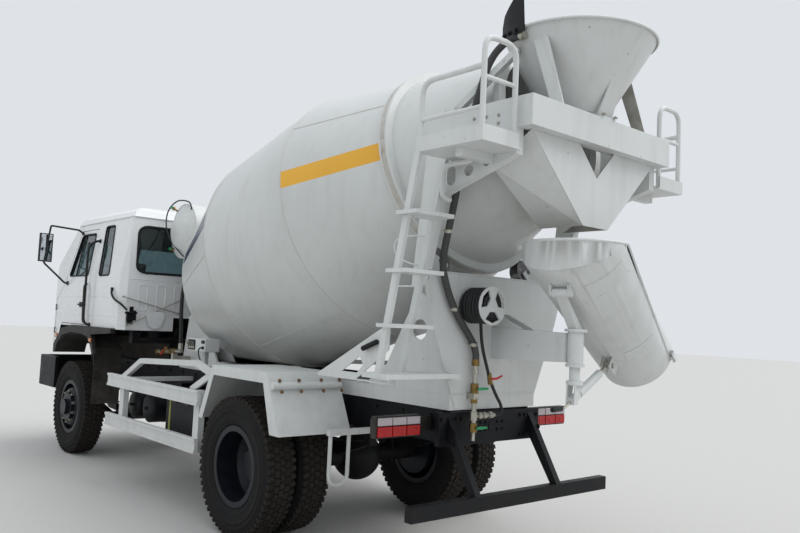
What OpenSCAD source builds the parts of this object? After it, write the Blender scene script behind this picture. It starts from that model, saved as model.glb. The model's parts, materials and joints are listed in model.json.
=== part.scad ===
// Concrete mixer truck, two axles, standing parked.
// X points forward, Y to the driver's left, Z up; lengths are in millimetres.
// Modules are written with X = 0 at the rear axle; at_origin() then moves the whole truck so
// that X = 0 is the middle of its length.

/* [Overall] */
// Distance from the rear axle to the front axle
wheelbase = 3900; // [3850:10:3980]
// Front face of the bumper, ahead of the rear axle
front_reach = 5000; // [4980:5:5040]
// Rearmost point of the feed hopper's rim, behind the rear axle
rear_reach = 2575; // [2560:5:2600]

/* [Wheels] */
// Outer radius of a tyre
tyre_r = 505; // [495:1:515]
// Width of a tyre
tyre_w = 245; // [230:1:260]
// Radius of the rim's flange
rim_r = 293; // [285:1:300]
// Radius of the seat that the tyre's bead sits on
seat_r = 262; // [250:1:270]
// Width of a rim over its flanges
rim_w = 200; // [180:1:210]
// Thickness of the rim and of its disc
rim_t = 12; // [8:1:16]
// Middle of a front tyre from the centreline
front_tyre_y = 895; // [880:1:910]
// Middle of the outer rear tyre from the centreline
outer_tyre_y = 1040; // [1030:1:1045]
// Distance between the middles of the two tyres of a rear pair
twin_gap = 290; // [275:1:300]
// Kingpin's place from the centreline
kingpin_y = 760; // [750:1:770]
// Radius of the kingpin
kingpin_r = 20; // [16:1:24]
// Radius of the wheel spindles
spindle_r = 40; // [34:1:46]

/* [Chassis] */
// Outer width of the frame over its two rails
frame_w = 860; // [820:10:880]
// Height of a frame rail
rail_h = 215; // [190:5:230]
// Width of a rail's flange
rail_flange = 70; // [60:1:80]
// Thickness of a frame rail
rail_t = 8; // [6:1:10]
// Height of the top of the frame rails
frame_top = 1045; // [1035:5:1055]
// Rear end of the frame rails, behind the rear axle
frame_rear = 1420; // [1410:5:1430]
// Height of the white subframe rails on top of the frame
subframe_h = 100; // [80:5:120]
// Half width of the underrun bar
underrun_half = 970; // [900:10:1000]
// Height of the underrun bar's section
underrun_h = 91; // [80:1:110]
// Outer plane of side guards and fenders from the centreline
guard_y = 1170; // [1165:1:1180]
// Height of a side guard rail's section
guard_rail_h = 115; // [90:5:125]
// Thickness of the fender sheet
fender_t = 6; // [4:1:10]

/* [Cab] */
// Half width of the cab at its waist
cab_half = 1000; // [990:5:1010]
// Half width of the cab at its roof gutter
cab_top_half = 920; // [900:5:940]
// Thickness of the cab's walls and doors
wall = 40; // [30:1:50]
// Rear wall of the cab, ahead of the rear axle
cab_rear = 2640; // [2620:5:2660]
// Front face of the cab at its waist
cab_front = 4880; // [4870:5:4890]
// Height of the cab's roof
cab_roof = 2680; // [2660:5:2720]
// Height of the cab's lower edge at the doors
cab_floor = 1400; // [1390:5:1410]
// Gap all round a door
door_gap = 6; // [4:1:10]
// Thickness of the window glass
glass_t = 6; // [4:1:8]

/* [Drum] */
// Slope of the drum's axis
drum_tilt = 15.95; // [15.5:0.05:16.5]
// Height of the drum's axis over the rear axle
axis_z = 2415; // [2405:5:2425]
// Radius of the drum's cylinder
drum_r = 1022; // [1000:1:1030]
// Thickness of the drum's wall
drum_t = 8; // [6:1:12]
// Radius of the drum's roller ring
ring_r = 780; // [770:1:790]
// Width of the roller ring
ring_w = 90; // [70:1:100]
// Radius of a roller
roller_r = 100; // [90:1:105]
// Radius of the drum's mouth
mouth_r = 470; // [440:5:490]

/* [Chute] */
// Radius of the main chute at its upper end
chute_top_r = 333; // [320:1:345]
// Radius of the main chute at its lower end
chute_low_r = 252; // [240:1:265]
// Length of the main chute
chute_len = 1235; // [1200:5:1280]
// Slope of the main chute below the horizontal, as parked
chute_slope = 35; // [33:0.5:36]
// Thickness of the chute's sheet
chute_t = 5; // [4:1:8]
// Length of the folded extension chute
ext_len = 700; // [600:10:760]

/* [Hidden] */
$fn = 64;
white = "#dcddd8";
cab_white = "#e6e8e9";
black = "#1d2026";
tyre_black = "#2b2927";
grey = "#8a8d90";
glass = "#5c6f78";
eps = 1;
fit = 0.05;
seat_gap = 0.3;
side_gap = 2;
mid_x = (front_reach - rear_reach) / 2;
frame_half = frame_w / 2;
frame_low = frame_top - rail_h;
sub_top = frame_top + subframe_h;
axle_z = tyre_r;

module at_origin() translate([-mid_x, 0, 0]) children();
module both_sides() { children(); mirror([0, 1, 0]) children(); }
module box(x, y, z) translate([x[0], y[0], z[0]]) cube([x[1] - x[0], y[1] - y[0], z[1] - z[0]]);
module plate_y(y, t, pts) translate([0, y + t, 0]) rotate([90, 0, 0]) linear_extrude(t) polygon(pts);
module plate_x(x, t, pts) translate([x, 0, 0]) rotate([90, 0, 90]) linear_extrude(t) polygon(pts);
module plate_z(z, t, pts) translate([0, 0, z]) linear_extrude(t) polygon(pts);
module cyl_y(x, y0, y1, z, r) translate([x, y1, z]) rotate([90, 0, 0]) cylinder(h = y1 - y0, r = r);
module cyl_x(x0, x1, y, z, r) translate([x0, y, z]) rotate([0, 90, 0]) cylinder(h = x1 - x0, r = r);
// A round bar from point a to point b
module bar(a, b, r) {
    d = b - a;
    l = norm(d);
    translate(a) rotate([0, acos(d[2] / l), atan2(d[1], d[0])]) cylinder(h = l, r = r);
}
// A flat bar from point a to point b, s wide and t thick
module strut(a, b, s, t) {
    d = b - a;
    l = norm(d);
    translate(a) rotate([0, acos(d[2] / l), atan2(d[1], d[0])]) translate([-s / 2, -t / 2, 0]) cube([s, t, l]);
}
// A tube swept along a route: rings of `sides` points, turned from one to the next without twist
function unit(v) = v / norm(v);
function heading(p, i) = i == 0 ? unit(p[1] - p[0]) : i == len(p) - 1 ? unit(p[i] - p[i - 1])
    : unit(unit(p[i + 1] - p[i]) + unit(p[i] - p[i - 1]));
function square_to(u, t) = unit(u - (u * t) * t);
function sweep_up(p, i, u) = i == len(p) ? [] : let (v = square_to(u, heading(p, i))) concat([v], sweep_up(p, i + 1, v));
// The route with each inner corner rounded over the distance d
function rounded(p, d, n = 4) = [p[0], for (i = [1 : len(p) - 2]) let (a = p[i] + unit(p[i - 1] - p[i]) * d,
    b = p[i] + unit(p[i + 1] - p[i]) * d) for (k = [0 : n]) let (t = k / n)
    (1 - t) * (1 - t) * a + 2 * t * (1 - t) * p[i] + t * t * b, p[len(p) - 1]];
module sweep(p, r, sides = 8, up = [0.31, 0.17, 0.93]) {
    v = sweep_up(p, 0, up);
    pts = [for (i = [0 : len(p) - 1]) let (w = cross(heading(p, i), v[i])) for (k = [0 : sides - 1])
        p[i] + r * (cos(360 * k / sides) * v[i] + sin(360 * k / sides) * w)];
    last = (len(p) - 1) * sides;
    polyhedron(pts, concat([[for (k = [0 : sides - 1]) k]], [[for (k = [0 : sides - 1]) last + sides - 1 - k]],
        [for (i = [0 : len(p) - 2], k = [0 : sides - 1]) [i * sides + k, (i + 1) * sides + k,
        (i + 1) * sides + (k + 1) % sides, i * sides + (k + 1) % sides]]));
}

// Frame: two C rails, crossmembers and the black tail member
cross_x = [3300, 2300, 900, -700];
cross_t = 60;
cross_drop = 60;
rail_front = 4700;
tail_t = 40;
tail_half = 506;
tail_drop = 15;
module frame_rails() color(black) {
    both_sides() difference() {
        box([-frame_rear, rail_front], [frame_half - rail_flange, frame_half], [frame_low, frame_top]);
        box([-frame_rear - eps, rail_front + eps], [frame_half - rail_flange - eps, frame_half - rail_t],
            [frame_low + rail_t, frame_top - rail_t]);
    }
    for (x = cross_x)
        box([x - cross_t / 2, x + cross_t / 2], [-frame_half + rail_t, frame_half - rail_t],
            [frame_low + rail_t, frame_top - cross_drop]);
    box([-frame_rear - tail_t, -frame_rear], [-tail_half, tail_half], [frame_low - tail_drop, frame_top - tail_drop]);
}

// Subframe: white rails on the frame, with the front stand that carries the drum's gearbox
sub_w = 80;
sub_front = 2420;
sub_cross = [1300, 300, -300];
stand_foot = [1700, 2420];
stand_top = [2060, 2330];
stand_z = 1560;
module subframe() color(white) {
    both_sides() box([-frame_rear, sub_front], [frame_half - sub_w, frame_half], [frame_top, sub_top]);
    for (x = sub_cross) box([x - 40, x + 40], [-frame_half + sub_w - eps, frame_half - sub_w + eps],
        [frame_top + 10, sub_top - 10]);
    both_sides() for (y = [frame_half - 50, 200])
        plate_y(y, 20, [[stand_foot[0], sub_top - eps], [stand_foot[1], sub_top - eps], [stand_top[1], stand_z],
            [stand_top[0], stand_z]]);
    box(stand_foot, [-frame_half, frame_half], [sub_top - 20, sub_top]);
    box([stand_top[0] + 10, stand_top[1]], [-frame_half + 20, frame_half - 20], [stand_z - 20, stand_z + 10]);
    box([stand_top[1] - 30, stand_top[1] - 10], [-frame_half + 30, frame_half - 30], [sub_top, stand_z]);
}

// Engine: one plain block under the cab
engine_x = [2950, 4450];
engine_half = 300;
engine_z = [640, 1290];
module engine_block() color(black) difference() {
    box(engine_x, [-engine_half, engine_half], engine_z);
    box([cross_x[0] - cross_t / 2 - side_gap, cross_x[0] + cross_t / 2 + side_gap], [-frame_half, frame_half],
        [frame_low, frame_top - cross_drop + side_gap]);
}

// Driveline: gearbox behind the engine and the propeller shaft to the rear axle
shaft_r = 45;
pinion_x = 330;
gear_x = 2450;
gear_z = 740;
gear_r = 150;
module driveline() color(grey) {
    cyl_x(gear_x, engine_x[0], 0, gear_z, gear_r);
    cyl_x(pinion_x + seat_gap, pinion_x + 30, 0, axle_z + 20, shaft_r + 15);
    bar([pinion_x + 20, 0, axle_z + 20], [gear_x + eps, 0, gear_z], shaft_r);
    for (s = [-1, 1]) box([2700, 2760], s > 0 ? [gear_r - 60, frame_half - rail_t] : [-frame_half + rail_t, -gear_r + 60],
        [gear_z + 100, gear_z + 160]);
}

// Front axle: an I-beam dropped between the kingpins, with an eye at each end
beam_z = 380;
beam_h = 90;
eye_r = 45;
eye_h = 90;
spring_y = 390;
module front_axle() color(black) difference() {
    union() {
        box([wheelbase - 40, wheelbase + 40], [-530, 530], [beam_z - beam_h / 2, beam_z + beam_h / 2]);
        both_sides() {
            plate_x(wheelbase - eye_r + 9, 2 * eye_r - 18, [[480, beam_z - beam_h / 2 + 1], [540, beam_z - beam_h / 2 + 1],
                [kingpin_y - 70, axle_z - eye_h / 2 + 2], [kingpin_y - 30, axle_z - eye_h / 2 + 2],
                [kingpin_y - 30, axle_z + eye_h / 2 - 2], [kingpin_y - 120, axle_z + eye_h / 2 - 2],
                [500, beam_z + beam_h / 2 - 1], [480, beam_z + beam_h / 2 - 1]]);
            translate([wheelbase, kingpin_y, axle_z - eye_h / 2]) cylinder(h = eye_h, r = eye_r);
        }
    }
    both_sides() translate([wheelbase, kingpin_y, axle_z - eye_h]) cylinder(h = 2 * eye_h, r = kingpin_r + fit);
}

// Rear axle: banjo housing, pinion nose, tubes and spindles
tube_r = 70;
banjo_r = 200;
tube_end = 590;
spindle_end = 885;
module rear_axle() color(black) {
    cyl_y(0, -tube_end, tube_end, axle_z, tube_r);
    translate([0, 0, axle_z]) sphere(banjo_r);
    cyl_x(0, pinion_x, 0, axle_z, 100);
    both_sides() cyl_y(0, tube_end - eps, spindle_end, axle_z, spindle_r);
}

// Leaf springs with their hangers under the frame
leaf_w = 70;
// columns: middle of the spring, half length, underside at the middle, underside at the ends, depth of the pack
springs = [[wheelbase, 640, beam_z + beam_h / 2, 600, 70], [0, 640, axle_z + tube_r, 700, 110]];
hanger = 32;
module leaf_springs() color(black) both_sides() for (s = springs)
    plate_y(spring_y - leaf_w / 2, leaf_w, [[s[0] - s[1], s[3]], [s[0] - s[1] * 0.5, s[2] + 14], [s[0] - 60, s[2]],
        [s[0] + 60, s[2]], [s[0] + s[1] * 0.5, s[2] + 14], [s[0] + s[1], s[3]],
        [s[0] + s[1] + hanger, s[3]], [s[0] + s[1] + hanger, frame_low], [s[0] + s[1] - hanger, frame_low],
        [s[0] + s[1] - hanger, s[3] + 26], [s[0] + s[1] * 0.5, s[2] + s[4]], [s[0] - s[1] * 0.5, s[2] + s[4]],
        [s[0] - s[1] + hanger, s[3] + 26], [s[0] - s[1] + hanger, frame_low], [s[0] - s[1] - hanger, frame_low],
        [s[0] - s[1] - hanger, s[3]]]);

// Fuel tank on the right; air tanks and battery box on the left, each on brackets from the frame
fuel_x = [1150, 2250];
fuel_y = [480, 1010];
fuel_z = [480, 920];
strap_t = 6;
air_r = 130;
air_z = 720;
module chassis_tanks() color(black) {
    mirror([0, 1, 0]) {
        box(fuel_x, fuel_y, fuel_z);
        for (x = [fuel_x[0] + 200, fuel_x[1] - 250]) {
            box([x, x + 50], [frame_half, fuel_y[0] + eps], [frame_low + 10, fuel_z[1]]);
            box([x, x + 50], [fuel_y[0] - strap_t, fuel_y[1] + strap_t], [fuel_z[0] - strap_t, fuel_z[1] + strap_t]);
        }
    }
    for (x = [1800, 2120]) {
        cyl_y(x, 470, 1000, air_z, air_r);
        box([x - 30, x + 30], [frame_half, 560], [air_z + 100, air_z + 190]);
    }
    box([950, 1450], [470, 1000], [560, 900]);
    box([1100, 1200], [frame_half, 471], [frame_low + 10, 900]);
}

// Exhaust: silencer beside the frame and the upright tail pipe behind the cab
exhaust_y = -600;
module exhaust() color(black) {
    cyl_x(2480, 3080, exhaust_y, 760, 110);
    box([2600, 2660], [exhaust_y, -frame_half], [830, 880]);
    sweep(rounded([[2500, exhaust_y, 760], [2400, exhaust_y, 760], [2400, exhaust_y, 2050]], 60), 38, 12);
    box([2380, 2420], [exhaust_y + 20, -frame_half - seat_gap], [frame_top - 50, frame_top - 20]);
}

// Bumper with its side returns, on two arms from the rails
bumper_z = [660, 1020];
bumper_back = 4460;
bumper_t = 110;
lamp_depth = 30;
arch_gap = 50;
lamp_span = [600, 920];
module front_bumper() color(black) {
    difference() {
        box([front_reach - bumper_t, front_reach], [-cab_half, cab_half], bumper_z);
        both_sides() box([front_reach - lamp_depth, front_reach + eps], lamp_span, [bumper_z[0] + 120, bumper_z[0] + 290]);
        both_sides() cyl_y(wheelbase, 700, cab_half + eps, axle_z, tyre_r + arch_gap);
    }
    both_sides() {
        difference() {
            box([bumper_back, front_reach - bumper_t + eps], [cab_half - 40, cab_half], bumper_z);
            cyl_y(wheelbase, 700, cab_half + eps, axle_z, tyre_r + arch_gap);
        }
        box([rail_front - 150, front_reach - bumper_t + eps], [frame_half, frame_half + 40], [bumper_z[0] + 190, bumper_z[0] + 280]);
    }
}

// Cab mounts: front pivot brackets, rear cross frame and its pads
pivot_x = 4650;
pivot_z = 1110;
pivot_r = 18;
lug_y = [415, 475];
mount_x = [2680, 2760];
module cab_mounts() color(black) {
    difference() {
        both_sides() {
            box([pivot_x - 45, pivot_x + 45], [lug_y[0] - 30, lug_y[0] - side_gap], [frame_top, pivot_z + 40]);
            box([pivot_x - 45, pivot_x + 45], [lug_y[1] + side_gap, lug_y[1] + 30], [frame_top - 60, pivot_z + 40]);
            box([pivot_x - 45, pivot_x + 45], [frame_half, lug_y[1] + 30], [frame_top - 90, frame_top - 50]);
        }
        both_sides() cyl_y(pivot_x, lug_y[0] - 40, lug_y[1] + 40, pivot_z, pivot_r + fit);
    }
    both_sides() {
        box(mount_x, [frame_half - 70, frame_half], [frame_top, 1300]);
        for (y = [560, 760]) box(mount_x, [y, y + 80], [1300, cab_floor - seat_gap]);
    }
    box(mount_x, [-840, 840], [1270, 1310]);
}

// Side guards: two rails, posts, the upper tube and brackets from the frame
guard_x = [575, 2415];
guard_top = 993;
guard_low = 622;
guard_t = 40;
guard_post = 90;
// columns: place along the truck and height of the upper tube's bends, and of the strut's two ends
guard_tube = [[guard_x[1] - 265, guard_top - 20], [1772, 1150], [708, 1200], [400, 1125]];
guard_strut = [[790, guard_top - 10], [425, 1150]];
tube_y = guard_y - 60;
guard_tube_r = 32;
groove = 8;
module side_guards() color(white) both_sides() {
    for (z = [guard_top, guard_low]) difference() {
        box(guard_x, [guard_y - guard_t, guard_y], [z - guard_rail_h, z]);
        box([guard_x[0] - eps, guard_x[1] + eps], [guard_y - groove, guard_y + eps], [z - guard_rail_h + 22, z - 22]);
    }
    for (x = [guard_x[0] + 20, guard_x[1] - 330]) {
        box([x, x + guard_post], [guard_y - guard_t - 50, guard_y - guard_t + eps], [guard_low - guard_rail_h, guard_top]);
        box([x + 20, x + 70], [frame_half, guard_y - guard_t], [guard_top - 60, guard_top - 20]);
    }
    sweep([for (q = guard_tube) [q[0], tube_y, q[1]]], guard_tube_r, 4, [0, 1, 1]);
    strut([guard_strut[0][0], tube_y, guard_strut[0][1]], [guard_strut[1][0], tube_y, guard_strut[1][1]], 50, 20);
}

// Rear fenders: a flat top with sloping ends over each pair of tyres, and side sheets
fender_in = 560;
fender_line = [[-619, 800], [-420, 1215], [350, 1215], [527, 798]];
fender_lip = [[465, 798], [322, 1140], [-385, 1140], [-500, 800]];
module rear_fenders() color(white) both_sides() {
    plate_y(fender_in, guard_y - fender_in, concat(fender_line, [[527 - 2 * fender_t, 798],
        [350 - fender_t, 1215 - 1.6 * fender_t], [-420 + fender_t, 1215 - 1.6 * fender_t], [-619 + 2 * fender_t, 800]]));
    plate_y(guard_y - fender_t, fender_t, concat(fender_line, fender_lip));
    for (x = [-330, 240]) {
        box([x, x + 60], [frame_half, guard_y - 60], [1215 - 2 * fender_t - 40, 1215 - fender_t]);
        box([x, x + 60], [frame_half, frame_half + 12], [frame_top + 20, 1215 - 2 * fender_t]);
    }
    cyl_y(-488, fender_in + 20, guard_y - 10, 1128, 26);
}

// The drum's axis: children are placed with local X along it, forwards and down
head_x = 1960;
module on_axis(x) translate([x, 0, axis_z - x * tan(drum_tilt)]) rotate([0, drum_tilt, 0]) children();
function along(x) = (head_x - x) / cos(drum_tilt);
reducer_r = 200;
reducer_l = 210;
flange_l = 30;
module drum_reducer() color(white) {
    on_axis(head_x) {
        translate([flange_l + seat_gap, 0, 0]) rotate([0, 90, 0]) cylinder(h = reducer_l, r = reducer_r);
        translate([flange_l + reducer_l, 0, 0]) rotate([0, 90, 0]) cylinder(h = 130, r = 100);
    }
    box([2090, 2230], [-150, 150], [stand_z + 10, 1700]);
}

// Rear pedestal: rear plate, side plates, cross plate and the tapered beam to the chute's post
ped_x = 1470;
leg_foot = 1842;
ped_t = 10;
ped_pts = [[-386, frame_top + 10], [386, frame_top + 10], [634, 1633], [698, 1842], [644, 1940],
    [-644, 1940], [-698, 1842], [-634, 1633]];
side_pts = [[-1465, frame_top + 20], [-1465, 1842], [-1160, 1842], [-1020, 1640], [-830, sub_top + 160],
    [-640, sub_top + 30], [-640, sub_top + seat_gap], [-frame_rear - seat_gap, sub_top + seat_gap]];
post_x = -2130;
sleeve_r = 50;
sleeve_z = [1392, 1592];
post_r = 34;
swing_beam = [[-1470 - ped_t + eps, 1384], [-1470 - ped_t + eps, 1597], [post_x + 40, 1582], [post_x + 40, 1400]];
module rear_pedestal() color(white) {
    plate_x(-ped_x - ped_t, ped_t, ped_pts);
    both_sides() difference() {
        plate_y(frame_half - 10, 12, side_pts);
        cyl_y(-1160, 400, 460, 1560, 70);
    }
    both_sides() box([-ped_x, -1250], [frame_half - 10, beam_half], [leg_foot - 10, leg_foot]);
    box([-1250, -1238], [-frame_half, frame_half], [sub_top + seat_gap, 1700]);
    box([-ped_x, -frame_rear + 200], [-frame_half, frame_half], [sub_top + seat_gap, sub_top + 12]);
    box([-ped_x, -frame_rear - seat_gap], [-frame_half, frame_half], [frame_top + seat_gap, sub_top + eps]);
    difference() {
        union() {
            plate_y(-60, 120, swing_beam);
            translate([post_x, 0, sleeve_z[0]]) cylinder(h = sleeve_z[1] - sleeve_z[0], r = sleeve_r);
        }
        translate([post_x, 0, sleeve_z[0] - eps]) cylinder(h = sleeve_z[1] - sleeve_z[0] + 2 * eps, r = post_r + fit);
    }
    both_sides() at_roller() roller_bracket();
}

// Rollers under the ring, each in a clevis on the pedestal
roller_angle = 31;
roller_w = 80;
roller_pin_r = 22;
ring_x = -1054;
ring_mid = ring_x - ring_w / 2;
clevis_t = 14;
module at_roller() on_axis(ring_mid) rotate([roller_angle, 0, 0]) translate([0, 0, -(ring_r + roller_r + seat_gap)]) children();
module roller_bracket() {
    for (s = [-1, 1]) difference() {
        union() {
            translate([s * (roller_w / 2 + 4 + clevis_t / 2) - clevis_t / 2, -60, -220]) cube([clevis_t, 120, 240]);
        }
        translate([s * 60 - 20, 0, 0]) rotate([0, 90, 0]) cylinder(h = 40, r = roller_pin_r + fit);
    }
    translate([-roller_w / 2 - 4 - clevis_t, -60, -220]) cube([roller_w + 8 + 2 * clevis_t, 120, 60]);
}
module roller() color(grey) at_roller() {
    translate([-roller_w / 2, 0, 0]) rotate([0, 90, 0]) cylinder(h = roller_w, r = roller_r);
    translate([-roller_w / 2 - 4 - clevis_t, 0, 0]) rotate([0, 90, 0]) cylinder(h = roller_w + 8 + 2 * clevis_t, r = roller_pin_r);
}
module roller_left() roller();
module roller_right() mirror([0, 1, 0]) roller();

// Top frame: crossbeam, side beams and the legs that carry them on the pedestal
beam_x = -2325;
beam_top = 2917;
beam_low = 2738;
beam_half = 732;
beam_d = 110;
leg_t = 60;
side_front = -1480;
leg_cut = 1945;
leg = [[-2214, beam_low + 1], [-2214, 2586], [-1620, 2396], [-1505, leg_cut], [-1495, leg_foot + seat_gap],
    [-1385, leg_foot + seat_gap],
    [side_front, beam_low + 1]];
// Holes in the gusset under each platform; columns: place along the truck, height, radius
gusset_holes = [[-1848, 2533, 36], [-1990, 2564, 24], [-1702, 2540, 36], [-1702, 2490, 36]];
module top_frame() color(white) {
    box([beam_x, beam_x + beam_d], [-beam_half, beam_half], [beam_low, beam_top]);
    both_sides() {
        box([beam_x + beam_d - eps, side_front], [beam_half - leg_t, beam_half], [beam_low, beam_top]);
        difference() {
            plate_y(beam_half - leg_t, leg_t, leg);
            box([-2400, -1300], [beam_half - leg_t - eps, beam_half - 32], [leg_foot - eps, leg_cut]);
            for (h = gusset_holes) cyl_y(h[0], beam_half - leg_t - eps, beam_half + eps, h[1], h[2]);
            box([-1702 - 36, -1702 + 36], [beam_half - leg_t - eps, beam_half + eps], [2490, 2540]);
        }
    }
}

// Feed hopper: a half cone over the drum's mouth, open towards the drum, on brackets
mouth_x = -1900;
hop_r = 500;
hop_x = -(rear_reach - hop_r);
hop_z = 3447;
hop_low_z = 2960;
hop_low_r = 200;
hop_t = 6;
hop_rim = 9;
// The hopper's open front lies parallel to the drum's mouth
mouth_gap = 30;
function mouth_plane(z) = mouth_x - mouth_gap + (z - mouth_z) * tan(drum_tilt);
mouth_z = axis_z - mouth_x * tan(drum_tilt);
module hop_form(out) translate([hop_x, 0, hop_low_z - (out < 0 ? eps : 0)]) cylinder(h = hop_z - hop_low_z + (out < 0 ? 2 * eps : 0),
    r1 = hop_low_r + out, r2 = hop_r + out);
lean = 22;
brace_top = [-1940, 428, 3330];
brace_foot = [-1640, 655, beam_top + 20];
module feed_hopper() color(white) {
    difference() {
        union() {
            hop_form(0);
            translate([hop_x, 0, hop_z - hop_rim]) rotate_extrude() translate([hop_r, 0]) circle(hop_rim);
            both_sides() plate_y(434, 10, [[beam_x + 10, beam_top], [beam_x + 95, beam_top], [-2060, 3400], [-2170, 3400]]);
            translate([beam_x + 30, 0, beam_top + 8]) rotate([0, -lean, 0]) {
                plate_x(0, 8, [[-75, 0], [75, 0], [52, 400], [-52, 400]]);
                for (s = [-1, 1]) translate([0, s > 0 ? 44 : -52, 0]) cube([45, 8, 400]);
            }
        }
        hop_form(-hop_t);
        plate_y(-900, 1800, [[mouth_plane(2900), 2900], [mouth_plane(3500), 3500], [-1000, 3500], [-1000, 2900]]);
    }
    box([beam_x, beam_x + 100], [-80, 80], [beam_top, beam_top + 14]);
    both_sides() {
        strut(brace_top, brace_foot, 36, 90);
        box([brace_foot[0] - 60, brace_foot[0] + 60], [beam_half - leg_t + 2, beam_half - 2], [beam_top, beam_top + 10]);
        box([brace_foot[0] - 45, brace_foot[0] + 45], [brace_foot[1] - 20, beam_half - 20], [beam_top + 9, beam_top + 40]);
    }
}
// Rubber flap standing on the left of the rim
flap_line = [[-1835, 3400], [-1828, 3490], [-1852, 3560], [-1960, 3640], [-2040, 3690], [-2062, 3400]];
flap_t = 6;
module hopper_flap() color(black) intersection() {
    plate_y(200, 400, flap_line);
    translate([hop_x, 0, 3300]) difference() {
        cylinder(h = 500, r = hop_r + hop_rim + seat_gap + flap_t);
        translate([0, 0, -eps]) cylinder(h = 500 + 2 * eps, r = hop_r + hop_rim + seat_gap);
    }
}

// Discharge collector: a box funnel under the crossbeam, open towards the drum
// corners: rear top, front top, rear low, front low; half width, X and Z
col_rear_top = [-2245, 644, 2734];
col_front_top = [-1950, 640, 2560];
col_rear_low = [-2245, 131, 2242];
col_front_low = [-1920, 131, 2242];
col_t = 8;
module discharge_collector() color(white) {
    plate_x(-2245 - col_t, col_t, [[-131, 2242], [131, 2242], [644, 2737.7], [182, 2737.7], [0, 2552], [-182, 2737.7],
        [-644, 2737.7]]);
    both_sides() hull() for (p = [col_rear_top, col_front_top, col_rear_low, col_front_low])
        translate(p - [0, col_t, 0]) cube([eps, col_t, eps]);
}

// Platforms beside the hopper, with toe boards and rails
plat_x = [-2250, -1720];
plat_y = [750, 1052];
plat_z = 2600;
plat_t = 8;
toe_h = 90;
rail_r = 17;
rail_in = 20;
arch_z = 3190;
hand_z = 3020;
module platforms() color(white) both_sides() {
    box(plat_x, [beam_half, plat_y[1]], [plat_z, plat_z + plat_t]);
    box(plat_x, [plat_y[1] - 6, plat_y[1]], [plat_z, plat_z + toe_h]);
    box([plat_x[0], plat_x[0] + 6], plat_y, [plat_z, plat_z + toe_h]);
    box([plat_x[0] + 200, plat_x[0] + 260], [beam_half, plat_y[1] - 60], [plat_z - 50, plat_z + eps]);
    sweep(rounded([for (q = [[plat_y[1] - rail_in, plat_z], [plat_y[1] - rail_in, arch_z], [plat_y[0] + rail_in, arch_z],
        [plat_y[0] + rail_in, plat_z]]) [plat_x[0] + rail_in + 6, q[0], q[1]]], 90), rail_r);
    sweep(rounded([for (q = [[plat_x[1] - rail_in, plat_z], [plat_x[1] - rail_in, hand_z], [plat_x[0] + rail_in + 6, hand_z]])
        [q[0], plat_y[1] - rail_in, q[1]]], 90), rail_r);
    sweep([for (x = [plat_x[1] - rail_in, plat_x[0] + rail_in + 6]) [x, plat_y[1] - rail_in, 2790]], rail_r - 4);
    sweep([for (y = plat_y) [plat_x[0] + rail_in + 6, y == plat_y[0] ? y + rail_in : y - rail_in, 2960]], rail_r - 4);
}

// Ladder on the left rear, with the stirrup under the fender
stile_out = [[-1510, 1080, 1290], [-1747, 1050, plat_z + 10]];
stile_in = [[-1430, 830, 1290], [-1702, 790, plat_z + 10]];
step_z = [1580, 1905, 2245];
step_y = [790, 1100];
step_t = 24;
board_x = [-1620, -1390];
board_z = 1280;
board_in = 500;
module ladder() color(white) {
    difference() {
        for (s = [stile_out, stile_in]) strut(s[0], s[1], 40, 30);
        box([-2000, -1400], [700, 1200], [plat_z - seat_gap, plat_z + 100]);
    }
    for (z = step_z) {
        x = -1520 - (z - board_z) * 0.2;
        box([x - 90, x + 90], step_y, [z - step_t / 2, z + step_t / 2]);
    }
    box(board_x, [board_in, 1110], [board_z - 15, board_z + 15]);
    box([board_x[0] + 40, -ped_x - ped_t - seat_gap], [board_in - 60, board_in + 40], [board_z - 27, board_z - 15 + eps]);
    box([-1420, -1395], [860, 908], [1216, board_z - 15 + eps]);
    difference() {
        plate_y(900, 8, [[-640, 1222], [-1080, 1222], [-1395, 1430], [-1395, 1595], [-1340, 1570]]);
        plate_y(890, 30, [[-930, 1265], [-1090, 1265], [-1150, 1320], [-1110, 1375]]);
    }
    box([-1395, -660], [860, 908], [1216, 1224]);
    sweep(rounded([[-700, 800, 830], [-700, 800, 460], [-700, 640, 460], [-700, 640, 830]], 70), 15);
    box([-720, -680], [frame_half, 820], [800, 840]);
}

// Hose reel on the rear plate, its hose and the suction hose, clipped along the rear
reel_y = 300;
reel_z = 1735;
reel_out = 1700;
reel_r = 125;
module hose_reel() color(white) {
    cyl_x(-reel_out, -ped_x - ped_t, reel_y, reel_z, 35);
    difference() {
        cyl_x(-reel_out, -reel_out + 12, reel_y, reel_z, reel_r);
        for (a = [30, 150, 270]) translate([-reel_out - eps, reel_y, reel_z]) rotate([a, 0, 0]) rotate([0, 90, 0])
            linear_extrude(14) polygon([[-28, 40], [28, 40], [68, 88], [0, 112], [-68, 88]]);
    }
    cyl_x(-ped_x - ped_t - 14, -ped_x - ped_t - 2, reel_y, reel_z, reel_r);
}
valve_y = 262;
valve_x = -1530;
pipe_r = 17;
spigot_r = 14;
spigot_l = 60;
spigot_z = 850;
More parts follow.
